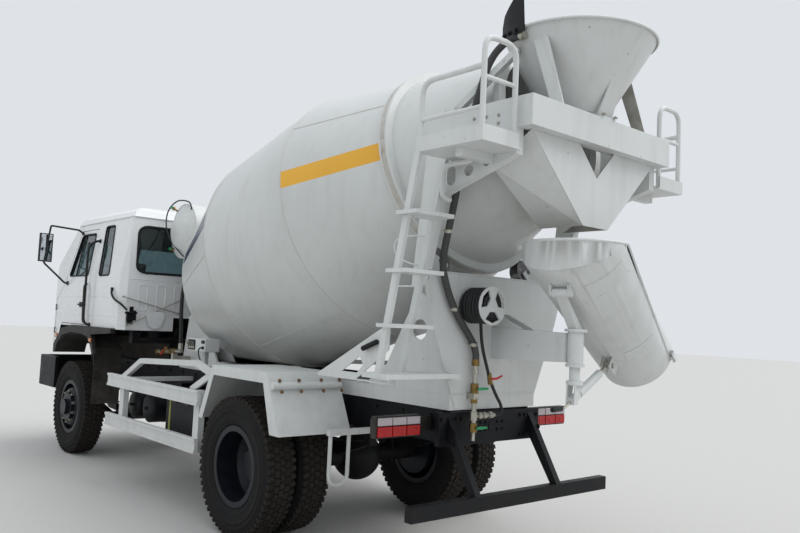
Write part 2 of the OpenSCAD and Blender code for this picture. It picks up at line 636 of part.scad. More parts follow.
// White box with the drum's levers on the left of the frame
control_x = [1230, 1570];
control_y = [640, 780];
control_z = [1262, 1375];
module control_box() color(white) {
    box(control_x, control_y, control_z);
    box([1380, 1420], [frame_half + seat_gap, 700], [sub_top - 60, sub_top - 20]);
    box([1380, 1420], [660, 700], [sub_top - 60, control_z[0] + eps]);
}
module water_fittings() color(grey) {
    translate([valve_x, valve_y, spigot_z]) cylinder(h = spigot_l + eps, r = spigot_r);
    bar([valve_x, valve_y, spigot_z + spigot_l], [valve_x, valve_y, 1380], pipe_r);
    bar([valve_x, valve_y, 1010], [valve_x, 60, 1010], pipe_r - 3);
    box([valve_x - 20, -ped_x - ped_t], [valve_y - 24, valve_y + 24], [1120, 1160]);
    bar([2050, 600, 1225], [2600, 600, 1190], pipe_r);
    box([2190, 2230], [frame_half, 590], [1130, 1170]);
    box([2190, 2230], [570, 620], [1130, 1196]);
    bar([2080, 600, 1240], [2080, 600, 1300], pipe_r + 4);
}
suction_r = 24;
suction = [[valve_x, valve_y, 1380], [-1530, 262, 1450], [-1520, 340, 1540], [-1520, 478, 1700], [-1520, 560, 1880],
    [-1540, 625, 2000], [-1600, 630, 2200], [-1650, 630, 2450]];
reel_route = [[-1560, 300, 1600], [-1560, 250, 1500], [-1560, 150, 1250], [-1550, 20, 1100], [valve_x, 0, 1010],
    [valve_x, 60 - seat_gap, 1010]];
module water_hoses() color(black) {
    sweep(rounded(suction, 50, 3), suction_r, 10);
    sweep(rounded(reel_route, 25, 3), 12);
}

// Water tank across the truck, between the cab and the drum
tank_x = 2285;
tank_z = 2425;
tank_r = 278;
tank_half = 545;
dish = 80;
module water_tank() color(white) {
    cyl_y(tank_x, -tank_half, tank_half, tank_z, tank_r);
    both_sides() translate([tank_x, tank_half - eps, tank_z]) rotate([-90, 0, 0]) cylinder(h = dish, r1 = tank_r, r2 = tank_r * 0.5);
    both_sides() box([stand_top[1] - 70, stand_top[1] - 10], [330, 390], [stand_z + 10 + seat_gap, tank_z - tank_r + 30]);
}

// Tail lamps on brackets at the frame's end
lamp_y = [578, 950];
lamp_z = [879, 1015];
lamp_x = [-1359, -1310];
module tail_lamps() color("#b5202a") both_sides() {
    box(lamp_x, lamp_y, lamp_z);
    box([lamp_x[1], lamp_x[1] + 10], [frame_half, lamp_y[1]], [lamp_z[0] + 20, lamp_z[1] - 20]);
}

// Underrun bar on two struts from the tail member
under_x = -1735;
under_top = 541;
under_t = 60;
under_strut_y = 380;
module underrun_bar() color(black) {
    box([under_x, under_x + under_t], [-underrun_half, underrun_half], [under_top - underrun_h, under_top]);
    both_sides() plate_y(under_strut_y, 50, [[-frame_rear - tail_t, 1000], [-1505, 930], [under_x, under_top - eps],
        [under_x + under_t, under_top - eps], [-frame_rear - tail_t, 865]]);
}

// Drum: a hollow shell turned about its sloping axis, from the head to the mouth
// columns: place of the section along the truck, outer radius
drum_rows = [[1784, 767], [901, drum_r], [-238, drum_r], [ring_x, 752], [mouth_x, mouth_r]];
head_boss = 170;
head_r = 320;
head_z = 90;
module drum_shell() color(white) on_axis(head_x) rotate([0, -90, 0]) {
    difference() {
        union() {
            rotate_extrude($fn = 96) polygon(concat([[0, 0], [head_boss, 0], [head_r, head_z]], [for (r = drum_rows) [r[1], along(r[0])]],
                [[0, along(mouth_x)]]));
            translate([0, 0, along(ring_x)]) cylinder(h = ring_w, r = ring_r, $fn = 96);
            translate([0, 0, along(mouth_x) - 60]) cylinder(h = 60, r = mouth_r + 45, $fn = 96);
        }
        rotate_extrude($fn = 96) polygon(concat([[0, drum_t], [head_boss - drum_t / 3, drum_t],
            [head_r - drum_t / 2, head_z + drum_t]], [for (i = [0 : len(drum_rows) - 1]) [drum_rows[i][1] - drum_t,
            along(drum_rows[i][0]) + (i == 0 ? drum_t : 0)]], [[mouth_r - drum_t, along(mouth_x) + eps],
            [0, along(mouth_x) + eps]]));
    }
    translate([0, 0, -flange_l]) cylinder(h = flange_l + eps, r = reducer_r - 40);
}

// Cab: a hollow shell with an engine tunnel, cut for doors and windows
waist_z = 1750;
side_z = 1950;
gutter_z = 2560;
skirt_z = 1180;
arch_front = 4460;
side_out = [[cab_rear, cab_floor], [cab_rear, gutter_z], [cab_rear + 25, 2622], [cab_rear + 80, 2662],
    [cab_rear + 180, cab_roof], [3850, cab_roof], [4040, 2658], [4150, 2600], [4200, 2530],
    [cab_front - 60, 1900], [cab_front, waist_z], [cab_front, skirt_z], [arch_front, skirt_z], [arch_front - 90, cab_floor]];
corner_x = 4600;
corner_y = 250;
rear_bevel = 70;
module cab_block(in) intersection() {
    plate_y(-1100, 2200, [for (p = side_out) [p[0] < 3500 ? p[0] + in : p[0] - in,
        p[1] > 2400 ? p[1] - in : p[1] < 1500 ? p[1] + in : p[1]]]);
    plate_x(2000, 3500, [[cab_half - in, 1000], [cab_half - in, side_z], [cab_top_half - in, gutter_z],
        [cab_top_half - 25 - in, 2615], [cab_top_half - 90 - in, 2658], [cab_top_half - 260 - in, 2700],
        [-cab_top_half + 260 + in, 2700], [-cab_top_half + 90 + in, 2658], [-cab_top_half + 25 + in, 2615],
        [-cab_top_half + in, gutter_z],
        [-cab_half + in, side_z], [-cab_half + in, 1000]]);
    plate_z(900, 2000, [[cab_rear - 10, -cab_half + rear_bevel + in], [cab_rear + rear_bevel - 10, -cab_half + in],
        [corner_x - in, -cab_half + in], [cab_front + 10, -cab_half + corner_y + in],
        [cab_front + 10, cab_half - corner_y - in], [corner_x - in, cab_half - in],
        [cab_rear + rear_bevel - 10, cab_half - in], [cab_rear - 10, cab_half - rear_bevel - in]]);
}
door_front = 4560;
tunnel_half = 430;
tunnel_z = 1540;
tunnel_x = 4560;
module tunnel(out) box([cab_rear - 10 - eps, tunnel_x + out], [-tunnel_half - out, tunnel_half + out], [1000, tunnel_z + out]);
door_line = [[3540, cab_floor + 20], [3540, 2480], [4060, 2480], [4290, 1900], [door_front, 1700], [door_front, 1250], [4430, 1250],
    [4330, cab_floor + 20]];
window_rear = [[-860, 2030], [-800, 1990], [800, 1990], [860, 2030], [860, 2420], [800, 2465], [-800, 2465], [-860, 2420]];
screen = [[-830, 1940], [830, 1940], [760, 2500], [-760, 2500]];
quarter = [[2997, 1957], [3283, 1952], [3335, 2490], [3096, 2490]];
side_window = [[3600, 1960], [3600, 2430], [4010, 2430], [4190, 1960]];
module cab_windows() {
    plate_x(cab_rear - 50, 200, window_rear);
    plate_x(4300, 800, screen);
    both_sides() plate_y(800, 300, quarter);
}
module cab_shell() color(cab_white) {
    difference() {
        cab_block(0);
        difference() { cab_block(wall); tunnel(wall); }
        tunnel(0);
        both_sides() plate_y(door_in, 300, door_line);
        cab_windows();
    }
    both_sides() {
        box([pivot_x - 40, pivot_x + 40], lug_y, [pivot_z - 30, skirt_z + wall]);
        cyl_y(pivot_x, lug_y[0] - 30, lug_y[1] + 30, pivot_z, pivot_r);
        for (z = door_hinges) shell_hinge(z);
    }
}
// Hinges at a door's front edge: pin and two lugs on the shell, a barrel on the door between them
hinge_x = door_front - door_gap / 2;
hinge_out = 9;
hinge_pin = 5;
hinge_half = 17;
lug_h = 16;
door_hinges = [1330, 1600];
module shell_hinge(z) {
    translate([hinge_x, cab_half + hinge_out, z - hinge_half - lug_h]) cylinder(h = 2 * (hinge_half + lug_h), r = hinge_pin);
    for (low = [z - hinge_half - lug_h, z + hinge_half]) {
        translate([hinge_x, cab_half + hinge_out, low]) cylinder(h = lug_h, r = hinge_out - seat_gap);
        box([hinge_x, hinge_x + hinge_out + 4], [cab_half - eps, cab_half + hinge_out + 5], [low, low + lug_h]);
    }
    box([hinge_x + hinge_out + 3, hinge_x + 40], [cab_half - eps, cab_half + 5], [z - hinge_half - lug_h, z + hinge_half + lug_h]);
}
module door_hinge(z) difference() {
    union() {
        translate([hinge_x, cab_half + hinge_out, z - hinge_half + seat_gap]) cylinder(h = 2 * (hinge_half - seat_gap), r = hinge_out - seat_gap);
        box([hinge_x - hinge_out - 4, hinge_x], [cab_half + 3, cab_half + hinge_out + 5], [z - hinge_half + seat_gap, z + hinge_half - seat_gap]);
        box([hinge_x - 45, hinge_x - hinge_out], [cab_half - eps, cab_half + 5], [z - hinge_half + seat_gap, z + hinge_half - seat_gap]);
    }
    translate([hinge_x, cab_half + hinge_out, z - 2 * hinge_half]) cylinder(h = 4 * hinge_half, r = hinge_pin + fit);
}
module cab_glass() color(glass) intersection() {
    difference() { cab_block(12); cab_block(12 + glass_t); }
    cab_windows();
}
// Black trim: grille panel on the front, wheel arches with their liners
flare_w = 45;
liner_y = [700, cab_half];
liner_t = 8;
arch_line = [[3262, 1000], [3290, 1180], [3400, 1270], [3560, 1320], [3900, 1332], [4200, 1280], [4330, 1172], [4372, 1080]];
flare_lap = 10;
module cab_trim() color(black) {
    for (z = [1270 : 60 : 1570]) box([cab_front, cab_front + 22], [-690, 690], [z, z + 36]);
    for (y = [-700, 0, 700]) box([cab_front, cab_front + 16], [y - 12, y + 12], [1262, 1616]);
    both_sides() {
        plate_y(cab_half, flare_w, [[2740, cab_floor + flare_lap], [3890, cab_floor + flare_lap], [4200, 1365],
            [4440, 1180], [4440, 1080], [4380, 1080], [4330, 1180], [4160, 1290], [3890, 1330], [3400, 1320],
            [2740, 1360]]);
        plate_y(liner_y[0], liner_y[1] - liner_y[0], [for (q = arch_line) q, for (i = [len(arch_line) - 1 : -1 : 0])
            [arch_line[i][0] + (arch_line[i][0] < wheelbase ? -liner_t : liner_t), arch_line[i][1] + liner_t]]);
    }
}
// Seats: two plain cushions and backs on the cab's floor
module seats() color(black) both_sides() {
    box([3280, 3780], [500, 950 - 30], [cab_floor + wall + seat_gap, 1780]);
    box([3130, 3280], [500, 950 - 30], [cab_floor + wall + 200, 2330]);
}
module dashboard() color(black) {
    box([4330, 4640], [-cab_half + 200, cab_half - 200], [1600, 1850]);
    box([4500, 4560], [-cab_half + 200, cab_half - 200], [tunnel_z + wall, 1601]);
    bar([4350, 600, 1840], [4180, 600, 1960], 25);
    translate([4180, 600, 1960]) rotate([0, -55, 0]) {
        rotate_extrude() translate([210, 0]) circle(14);
        for (a = [90, 210, 330]) rotate([0, 0, a]) translate([0, -15, -8]) cube([205, 30, 16]);
    }
}
door_in = cab_top_half - wall - 10;
module door_shape(in, t, cut) intersection() {
    difference() {
        cab_block(in);
        for (dz = [0, -2 * wall]) translate([0, 0, dz]) cab_block(in + t);
    }
    plate_y(door_in, 400, cut);
}
function inset(p, d) = [[p[0][0] + d, p[0][1] + d], [p[1][0] + d, p[1][1] - d], [p[2][0] - d, p[2][1] - d],
    [p[3][0] - d * 0.8, p[3][1] + d * 0.2], [p[4][0] - d, p[4][1] - d * 0.5], [p[5][0] - d, p[5][1] + d],
    [p[6][0] + d * 0.4, p[6][1] + d], [p[7][0] + d * 0.2, p[7][1] + d]];
module door_left() color(cab_white) {
    difference() {
        door_shape(0, wall, inset(door_line, door_gap));
        plate_y(800, 300, side_window);
    }
    for (z = door_hinges) door_hinge(z);
}
module door_right() mirror([0, 1, 0]) door_left();
module door_glass_left() color(glass) door_shape(12, glass_t, side_window);
module door_glass_right() mirror([0, 1, 0]) door_glass_left();
// Half width of the cab at height z, between its waist and its gutter
function door_side(z) = cab_half - (cab_half - cab_top_half) * (z - side_z) / (gutter_z - side_z);
module mirror_left() color(black) {
    sweep(rounded([[4020, 942, 2452], [4060, 975, 2490], [4380, 1190, 2540], [4470, 1215, 2110], [4250, 1030, 1880],
        [4230, cab_half + 6, 1880]], 20, 3), 11);
    box([4000, 4040], [door_side(2436) + seat_gap, 949], [2436, 2468]);
    box([4208, 4252], [cab_half + seat_gap, cab_half + 12], [1858, 1902]);
    box([4440, 4480], [1135, 1280], [2120, 2450]);
}
module mirror_right() mirror([0, 1, 0]) mirror_left();

// Steering: knuckles around the axle's eyes, with arms to the tie rod
fork_h = 32;
arm_l = 190;
arm_y = kingpin_y;
fork_z = axle_z - eye_h / 2 - seat_gap - fork_h;
ball_r = 14;
module knuckle_left() color(black) {
    translate([wheelbase, kingpin_y, axle_z - eye_h / 2 - seat_gap - fork_h]) cylinder(h = eye_h + 2 * seat_gap + 2 * fork_h, r = kingpin_r);
    for (z = [axle_z - eye_h / 2 - seat_gap - fork_h, axle_z + eye_h / 2 + seat_gap]) {
        translate([wheelbase, kingpin_y, z]) cylinder(h = fork_h, r = eye_r);
        box([wheelbase - 40, wheelbase + 40], [kingpin_y, kingpin_y + eye_r + 22], [z, z + fork_h]);
    }
    box([wheelbase - 40, wheelbase + 40], [kingpin_y + eye_r + 6, kingpin_y + eye_r + 22],
        [axle_z - eye_h / 2 - fork_h, axle_z + eye_h / 2 + fork_h]);
    cyl_y(wheelbase, kingpin_y + eye_r + 20, 985, axle_z, spindle_r);
    strut([wheelbase - 20, kingpin_y, fork_z + 14], [wheelbase - arm_l - 20, arm_y, fork_z + 14], 24, 44);
    translate([wheelbase - arm_l, arm_y, fork_z - 60]) cylinder(h = 70, r = ball_r);
}
module knuckle_right() mirror([0, 1, 0]) knuckle_left();
rod_r = 16;
eye_half = 18;
rod_z = fork_z - 10 - seat_gap - eye_half;
module tie_rod() color(black) difference() {
    union() {
        cyl_y(wheelbase - arm_l, -arm_y, arm_y, rod_z, rod_r);
        both_sides() translate([wheelbase - arm_l, arm_y, rod_z - eye_half]) cylinder(h = 2 * eye_half, r = 28);
    }
    both_sides() translate([wheelbase - arm_l, arm_y, rod_z - 40]) cylinder(h = 80, r = ball_r + fit);
}

// Wheels: rims turned from a section, hubs and brake drums
hub_r = 100;
// The section of one rim about its own middle, closed by the disc; columns: radius, distance outwards
function rim_section(s) = [[seat_r, s * -88], [rim_r, s * -88], [rim_r, s * -100], [seat_r - rim_t, s * -100],
    [seat_r - rim_t, s * 100], [rim_r, s * 100], [rim_r, s * 88], [seat_r, s * 88]];
module turned(y, pts) translate([0, y, axle_z]) rotate([-90, 0, 0]) rotate_extrude() polygon(pts);
front_disc_y = 1000;
front_hub_end = 1065;
module front_wheel() color(black) difference() {
    union() {
        turned(front_tyre_y, rim_section(1));
        turned(front_tyre_y, [[seat_r - rim_t + eps, 20], [195, 95], [0, 95], [0, 83], [185, 83], [seat_r - rim_t + eps, 0]]);
        cyl_y(0, front_tyre_y - 60, front_hub_end - 40, axle_z, 150);
        cyl_y(0, front_tyre_y - 20, front_hub_end, axle_z, 85);
    }
    cyl_y(0, 0, 990, axle_z, spindle_r + fit);
}
module front_wheel_left() translate([wheelbase, 0, 0]) front_wheel();
module front_wheel_right() mirror([0, 1, 0]) front_wheel_left();
twin_mid = outer_tyre_y - twin_gap / 2;
module rear_wheel() color(black) difference() {
    union() {
        for (s = [-1, 1]) {
            turned(twin_mid + s * twin_gap / 2, rim_section(1));
            turned(twin_mid, [[seat_r - rim_t + eps, s * (twin_gap / 2 - 73)], [200, s * rim_t], [0, s * rim_t], [0, 0], [207, 0],
                [seat_r - rim_t + eps, s * (twin_gap / 2 - 93)]]);
        }
        cyl_y(0, 620, 1010, axle_z, hub_r);
        cyl_y(0, 620, 780, axle_z, 205);
    }
    cyl_y(0, 0, spindle_end + 5, axle_z, spindle_r + fit);
}
module rear_wheel_left() rear_wheel();
module rear_wheel_right() mirror([0, 1, 0]) rear_wheel();
bead = 87.7;
module tyre(y) turned(y, [[seat_r + 0.3, -bead], [rim_r + 2, -bead], [rim_r + 8, -104], [345, -tyre_w / 2 + 3], [400, -tyre_w / 2],
    [455, -tyre_w / 2 + 5], [490, -104], [tyre_r, -88], [tyre_r, 88], [490, 104], [455, tyre_w / 2 - 5], [400, tyre_w / 2],
    [345, tyre_w / 2 - 3], [rim_r + 8, 104], [rim_r + 2, bead], [seat_r + 0.3, bead]]);
module front_tyre_left() color(tyre_black) translate([wheelbase, 0, 0]) tyre(front_tyre_y);
module front_tyre_right() mirror([0, 1, 0]) front_tyre_left();
module rear_tyres_left() color(tyre_black) { tyre(outer_tyre_y); tyre(outer_tyre_y - twin_gap); }
module rear_tyres_right() mirror([0, 1, 0]) rear_tyres_left();

// Chute, drawn pointing along local X from its swing axis and then swung to the truck's right
chute_az = -80;
inlet_u = -25;
inlet_z = 2135;
chute_rim = 9;
chute_taper = (chute_top_r - chute_low_r) / chute_len;
function chute_r(s) = chute_top_r - chute_taper * s;
// A point below the chute's bottom line: s along it, drop below its skin; place along local X and height
function below_chute(s, drop) = [inlet_u + s * cos(chute_slope) - (chute_r(s) + drop) * sin(chute_slope),
    inlet_z - s * sin(chute_slope) - (chute_r(s) + drop) * cos(chute_slope)];
module at_chute() translate([post_x, 0, 0]) rotate([0, 0, chute_az]) children();
module on_chute() translate([inlet_u, 0, inlet_z]) rotate([0, chute_slope, 0]) children();

// Arm: the post in the beam's sleeve, the hub under the chute's head and the strut's foot
pin_r = 12;
post_low = 1262;
post_top = 1610;
flange_t = 18;
flange_r = 70;
hub_half = 52;
lug_hub_r = 28;
arm_half = 30;
hinge = below_chute(20, 34);
foot = [-35, 1165];
foot_gap = 22;
foot_t = 8;
module chute_arm() color(white) at_chute() {
    translate([0, 0, post_low]) cylinder(h = post_top - post_low, r = post_r);
    translate([0, 0, post_top - flange_t + seat_gap]) cylinder(h = flange_t, r = flange_r);
    translate([0, 0, sleeve_z[0] - seat_gap - flange_t]) cylinder(h = flange_t, r = flange_r - 10);
    difference() {
        union() {
            plate_y(-arm_half, 2 * arm_half, [[-50, post_top - eps], [30, post_top - eps], [hinge[0] + 26, hinge[1] - 20],
                [hinge[0] + 10, hinge[1] + 24], [hinge[0] - 26, hinge[1] - 4]]);
            cyl_y(hinge[0], -hub_half, hub_half, hinge[1], lug_hub_r);
        }
        cyl_y(hinge[0], -hub_half - eps, hub_half + eps, hinge[1], pin_r + fit);
    }
    translate([0, 0, post_low]) cylinder(h = 25, r = post_r + flange_t);
    for (s = [-1, 1]) plate_y(s > 0 ? foot_gap : -foot_gap - foot_t, foot_t, [[foot[0] - 20, foot[1] - 22],
        [foot[0] + 30, foot[1] - 22], [40, post_low + 10], [-48, post_low + 10]]);
    cyl_y(foot[0], -foot_gap - foot_t, foot_gap + foot_t, foot[1], pin_r);
}

// Main chute: a tapered half pipe whose head turns up into an upright half round wall
low_s = 860;
low_drop = 45;
lug_t = 12;
low_pin = below_chute(low_s, low_drop);
low_half = 22;
low_play = 9;
hub_gap = hub_half + side_gap;
ext_pin_r = 8;
ext_rise = 2 * chute_rim + seat_gap;
ext_edge = chute_low_r + 6;
eye_t = 8;
eye_y = ext_edge + chute_rim + side_gap;
head_reach = 400;
head_out = 6;
head_rim = chute_rim + 1;
module chute_form(in) intersection() {
    on_chute() translate([-head_reach, 0, 0]) rotate([0, 90, 0]) cylinder(h = head_reach + chute_len + (in > 0 ? eps : 0),
        r1 = chute_r(-head_reach) - in, r2 = chute_low_r - in);
    union() {
        translate([inlet_u, 0, inlet_z - 900]) cylinder(h = 1000, r = chute_top_r + head_out - in);
        translate([inlet_u, -700, inlet_z - 1500]) cube([2000, 1400, 2000]);
    }
}
module main_chute() color(white) at_chute() {
    difference() {
        intersection() {
            chute_form(0);
            plate_y(-600, 1200, [[inlet_u - 500, inlet_z], [inlet_u, inlet_z],
                [inlet_u + 2000 * cos(chute_slope), inlet_z - 2000 * sin(chute_slope)], [inlet_u, inlet_z - 2200],
                [inlet_u - 500, inlet_z - 1500]]);
        }
        chute_form(chute_t);
    }
    intersection() {
        translate([inlet_u, 0, inlet_z]) rotate_extrude() translate([chute_top_r + 1, 0]) circle(head_rim);
        translate([inlet_u - 600, -600, inlet_z - 50]) cube([604, 1200, 100]);
    }
    on_chute() for (s = [-1, 1]) {
        bar([-2, s * (chute_top_r + 1), 0], [chute_len, s * (chute_low_r - 3), 0], chute_rim);
        difference() {
            union() {
                translate([chute_len - 50, s > 0 ? chute_low_r - 6 : -eye_y - eye_t, -chute_rim]) cube([30, eye_y + eye_t - chute_low_r + 6, 2 * chute_rim]);
                translate([chute_len - 50, s > 0 ? eye_y : -eye_y - eye_t, -chute_rim]) cube([70, eye_t, 2 * chute_rim + 14]);
            }
            translate([chute_len, 0, ext_rise / 2]) rotate([90, 0, 0]) cylinder(h = 700, r = ext_pin_r + fit, center = true);
        }
        translate([low_s, 0, 0]) difference() {
            translate([-40, s > 0 ? low_half : -low_half - lug_t, -chute_r(low_s) - low_drop - 30]) cube([120, lug_t, low_drop + 40]);
            translate([0, 0, -chute_r(low_s) - low_drop]) rotate([90, 0, 0]) cylinder(h = 200, r = pin_r + low_play, center = true);
        }
    }
    for (s = [-1, 1]) plate_y(s > 0 ? hub_gap : -hub_gap - lug_t, lug_t, [[hinge[0] - 24, hinge[1] - 18],
        [hinge[0] + 24, hinge[1] - 24], [hinge[0] + 62, hinge[1] + 12], [hinge[0] + 20, hinge[1] + 64],
        [hinge[0] - 34, hinge[1] + 48]]);
    cyl_y(hinge[0], -hub_gap - lug_t, hub_gap + lug_t, hinge[1], pin_r);
}

// Extension chute, folded over the main chute's lower end on two pins
ext_taper = 0.03;
module half_shell(r1, r2, l, t) difference() {
    rotate([0, 90, 0]) cylinder(h = l, r1 = r1, r2 = r2);
    translate([-eps, 0, 0]) rotate([0, 90, 0]) cylinder(h = l + 2 * eps, r1 = r1 - t, r2 = r2 - t);
    translate([-2 * eps, -500, 0]) cube([l + 4 * eps, 1000, 500]);
}
module extension_chute() color(white) at_chute() on_chute() translate([chute_len, 0, ext_rise]) {
    mirror([0, 0, 1]) mirror([1, 0, 0]) translate([side_gap, 0, 0]) {
        half_shell(ext_edge, ext_edge - ext_taper * ext_len, ext_len, chute_t);
        for (s = [-1, 1]) bar([0, s * (ext_edge - 3), 0], [ext_len, s * (ext_edge - 3 - ext_taper * ext_len), 0], chute_rim);
    }
    for (s = [-1, 1]) {
        translate([-80, s > 0 ? ext_edge - 8 : -eye_y - 2 * eye_t - 2 * side_gap, -chute_rim]) cube([24, eye_y + 2 * eye_t + 2 * side_gap - ext_edge + 8, 2 * chute_rim]);
        translate([-80, s > 0 ? eye_y + eye_t + side_gap : -eye_y - 2 * eye_t - side_gap, -ext_rise / 2 - 14]) cube([96, eye_t, 14 + ext_rise / 2 + chute_rim]);
        translate([0, s * (eye_y - side_gap), -ext_rise / 2]) rotate([s > 0 ? -90 : 90, 0, 0]) cylinder(h = 2 * eye_t + 2 * side_gap, r = ext_pin_r);
    }
}

// Screw strut between the arm's foot and the lugs near the chute's lower end
strut_d = [low_pin[0] - foot[0], low_pin[1] - foot[1]];
strut_l = norm(strut_d);
strut_a = atan2(strut_d[1], strut_d[0]);
barrel_r = 28;
barrel_start = 100;
barrel_end = 430;
bore_start = 112;
rod_start = 180;
screw_r = 15;
foot_half = foot_gap - side_gap;
module on_strut() translate([foot[0], 0, foot[1]]) rotate([0, -strut_a, 0]) children();
module strut_barrel() color(white) at_chute() on_strut() {
    difference() {
        union() {
            translate([barrel_start, 0, 0]) rotate([0, 90, 0]) cylinder(h = barrel_end - barrel_start, r = barrel_r);
            translate([-18, -foot_half, -18]) cube([barrel_start + 18 + eps, 2 * foot_half, 36]);
        }
        translate([bore_start, 0, 0]) rotate([0, 90, 0]) cylinder(h = barrel_end, r = screw_r + fit);
        rotate([90, 0, 0]) cylinder(h = 100, r = pin_r + fit, center = true);
    }
}
module strut_rod() color(white) at_chute() on_strut() {
    translate([rod_start, 0, 0]) rotate([0, 90, 0]) cylinder(h = strut_l - rod_start, r = screw_r);
    translate([strut_l, 0, 0]) rotate([90, 0, 0]) cylinder(h = 2 * (low_half - side_gap), r = 24, center = true);
    translate([strut_l, 0, 0]) rotate([90, 0, 0]) cylinder(h = 2 * (low_half + lug_t), r = pin_r, center = true);
}

at_origin() frame_rails();
at_origin() subframe();
at_origin() engine_block();
at_origin() driveline();
at_origin() front_axle();
at_origin() rear_axle();
at_origin() leaf_springs();
at_origin() chassis_tanks();
at_origin() exhaust();
at_origin() front_bumper();
at_origin() cab_mounts();
at_origin() side_guards();
at_origin() rear_fenders();
at_origin() drum_reducer();
at_origin() rear_pedestal();
at_origin() top_frame();
at_origin() feed_hopper();
at_origin() hopper_flap();
at_origin() discharge_collector();
at_origin() platforms();
at_origin() ladder();
at_origin() hose_reel();
at_origin() control_box();
at_origin() water_fittings();
at_origin() water_hoses();
at_origin() water_tank();
at_origin() tail_lamps();
at_origin() underrun_bar();
at_origin() drum_shell();
at_origin() roller_left();
at_origin() roller_right();
at_origin() cab_shell();
at_origin() cab_glass();
at_origin() cab_trim();
at_origin() seats();
at_origin() dashboard();
at_origin() door_left();
at_origin() door_right();
at_origin() door_glass_left();
at_origin() door_glass_right();
at_origin() mirror_left();
at_origin() mirror_right();
at_origin() knuckle_left();
at_origin() knuckle_right();
at_origin() tie_rod();
at_origin() front_wheel_left();
at_origin() front_wheel_right();
at_origin() front_tyre_left();
at_origin() front_tyre_right();
at_origin() rear_wheel_left();
at_origin() rear_wheel_right();
at_origin() rear_tyres_left();
at_origin() rear_tyres_right();
at_origin() chute_arm();
at_origin() main_chute();
at_origin() extension_chute();
at_origin() strut_barrel();
at_origin() strut_rod();
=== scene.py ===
"""Dresses a concrete mixer truck: welded drum, hopper, swinging chute, flat-nosed cab and dusty tyres."""
import json
import logging
import math
from dataclasses import dataclass
from enum import Enum
from typing import Any, Optional, Sequence

import bmesh
import bpy
from mathutils import Matrix, Vector


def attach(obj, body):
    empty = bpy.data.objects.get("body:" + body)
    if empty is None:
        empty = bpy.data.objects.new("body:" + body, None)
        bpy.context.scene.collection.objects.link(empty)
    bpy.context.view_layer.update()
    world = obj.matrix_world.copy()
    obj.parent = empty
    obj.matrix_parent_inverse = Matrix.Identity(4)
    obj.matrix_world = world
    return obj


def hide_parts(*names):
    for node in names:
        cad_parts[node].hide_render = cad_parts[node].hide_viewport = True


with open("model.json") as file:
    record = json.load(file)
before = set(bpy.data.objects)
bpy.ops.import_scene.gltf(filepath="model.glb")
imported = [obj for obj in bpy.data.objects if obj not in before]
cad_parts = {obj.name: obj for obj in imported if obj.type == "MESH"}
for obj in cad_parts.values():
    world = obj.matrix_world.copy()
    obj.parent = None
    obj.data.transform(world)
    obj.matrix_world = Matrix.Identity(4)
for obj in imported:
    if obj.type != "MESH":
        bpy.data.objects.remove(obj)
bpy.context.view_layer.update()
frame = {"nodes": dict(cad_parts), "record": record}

LOG = logging.getLogger("mixer_truck")
Outline = tuple[tuple[float, float], ...]
Route = tuple[tuple[float, float, float], ...]

# places in mm: forward from the rear axle, to the left from the centreline, up from the ground
MID_X = 1212.5          # middle of the truck's length
AXLE_Z = 505.0          # wheel centres
WHEELBASE = 3900.0      # front axle
FRONT_TYRE_Y = 895.0    # middle of a front tyre
OUTER_TYRE_Y = 1040.0   # middle of an outer rear tyre
TWIN_GAP = 290.0        # between the middles of twin tyres
DRUM_TILT = math.radians(15.95)
DRUM_AXIS_Z = 2415.0    # the drum's axis above the rear axle
HEAD_X = 1960.0         # the drum's closed end
WAVE_MM = 1000 * math.tau / 20  # distance between the bands of a wave texture at scale 1


def spot(x: float, y: float, z: float) -> Vector:
    """Turn millimetres from the rear axle into metres in the truck's frame.

    Args:
        x: Distance ahead of the rear axle.
        y: Distance to the left of the centreline.
        z: Height above the ground.

    Returns:
        The point in the frame that the whole truck shares.
    """
    return Vector(((x - MID_X) / 1000, y / 1000, z / 1000))


def spots(*places: Sequence[float]) -> list[Vector]:
    """Turn several places at once, each as spot does."""
    return [spot(*place) for place in places]


LEFT = Vector((0, 1, 0))
DRUM_AXIS = Vector((-math.cos(DRUM_TILT), 0, math.sin(DRUM_TILT)))   # from the closed end to the mouth
DRUM_DOWN = Vector((-math.sin(DRUM_TILT), 0, -math.cos(DRUM_TILT)))  # square to the axis
DRUM_HEAD = spot(HEAD_X, 0, DRUM_AXIS_Z - HEAD_X * math.tan(DRUM_TILT))


def linear(colour: str, alpha: float = 1.0) -> tuple[float, float, float, float]:
    """Turn an sRGB hex value into linear light.

    Args:
        colour: Six hex digits after a hash.
        alpha: Opacity to carry along.

    Returns:
        Linear red, green, blue and alpha.
    """
    parts = [int(colour[i:i + 2], 16) / 255 for i in (1, 3, 5)]
    low, high = [c / 12.92 for c in parts], [((c + 0.055) / 1.055) ** 2.4 for c in parts]
    return tuple(l if c <= 0.04045 else h for c, l, h in zip(parts, low, high)) + (alpha,)


def add(tree: bpy.types.NodeTree, kind: str, inputs: Optional[dict[Any, Any]] = None,
        **settings: Any) -> bpy.types.Node:
    """Add a shader node with its settings and links.

    Args:
        tree: The node tree it goes into.
        kind: Type of node, without the leading ShaderNode.
        inputs: Socket name or number to a constant, or to the socket that feeds it.
        **settings: Properties of the node itself.

    Returns:
        The new node.
    """
    node = tree.nodes.new("ShaderNode" + kind)
    for key, value in settings.items():
        setattr(node, key, value)
    for key, value in (inputs or {}).items():
        if isinstance(value, bpy.types.NodeSocket):
            tree.links.new(value, node.inputs[key])
        else:
            node.inputs[key].default_value = value
    return node


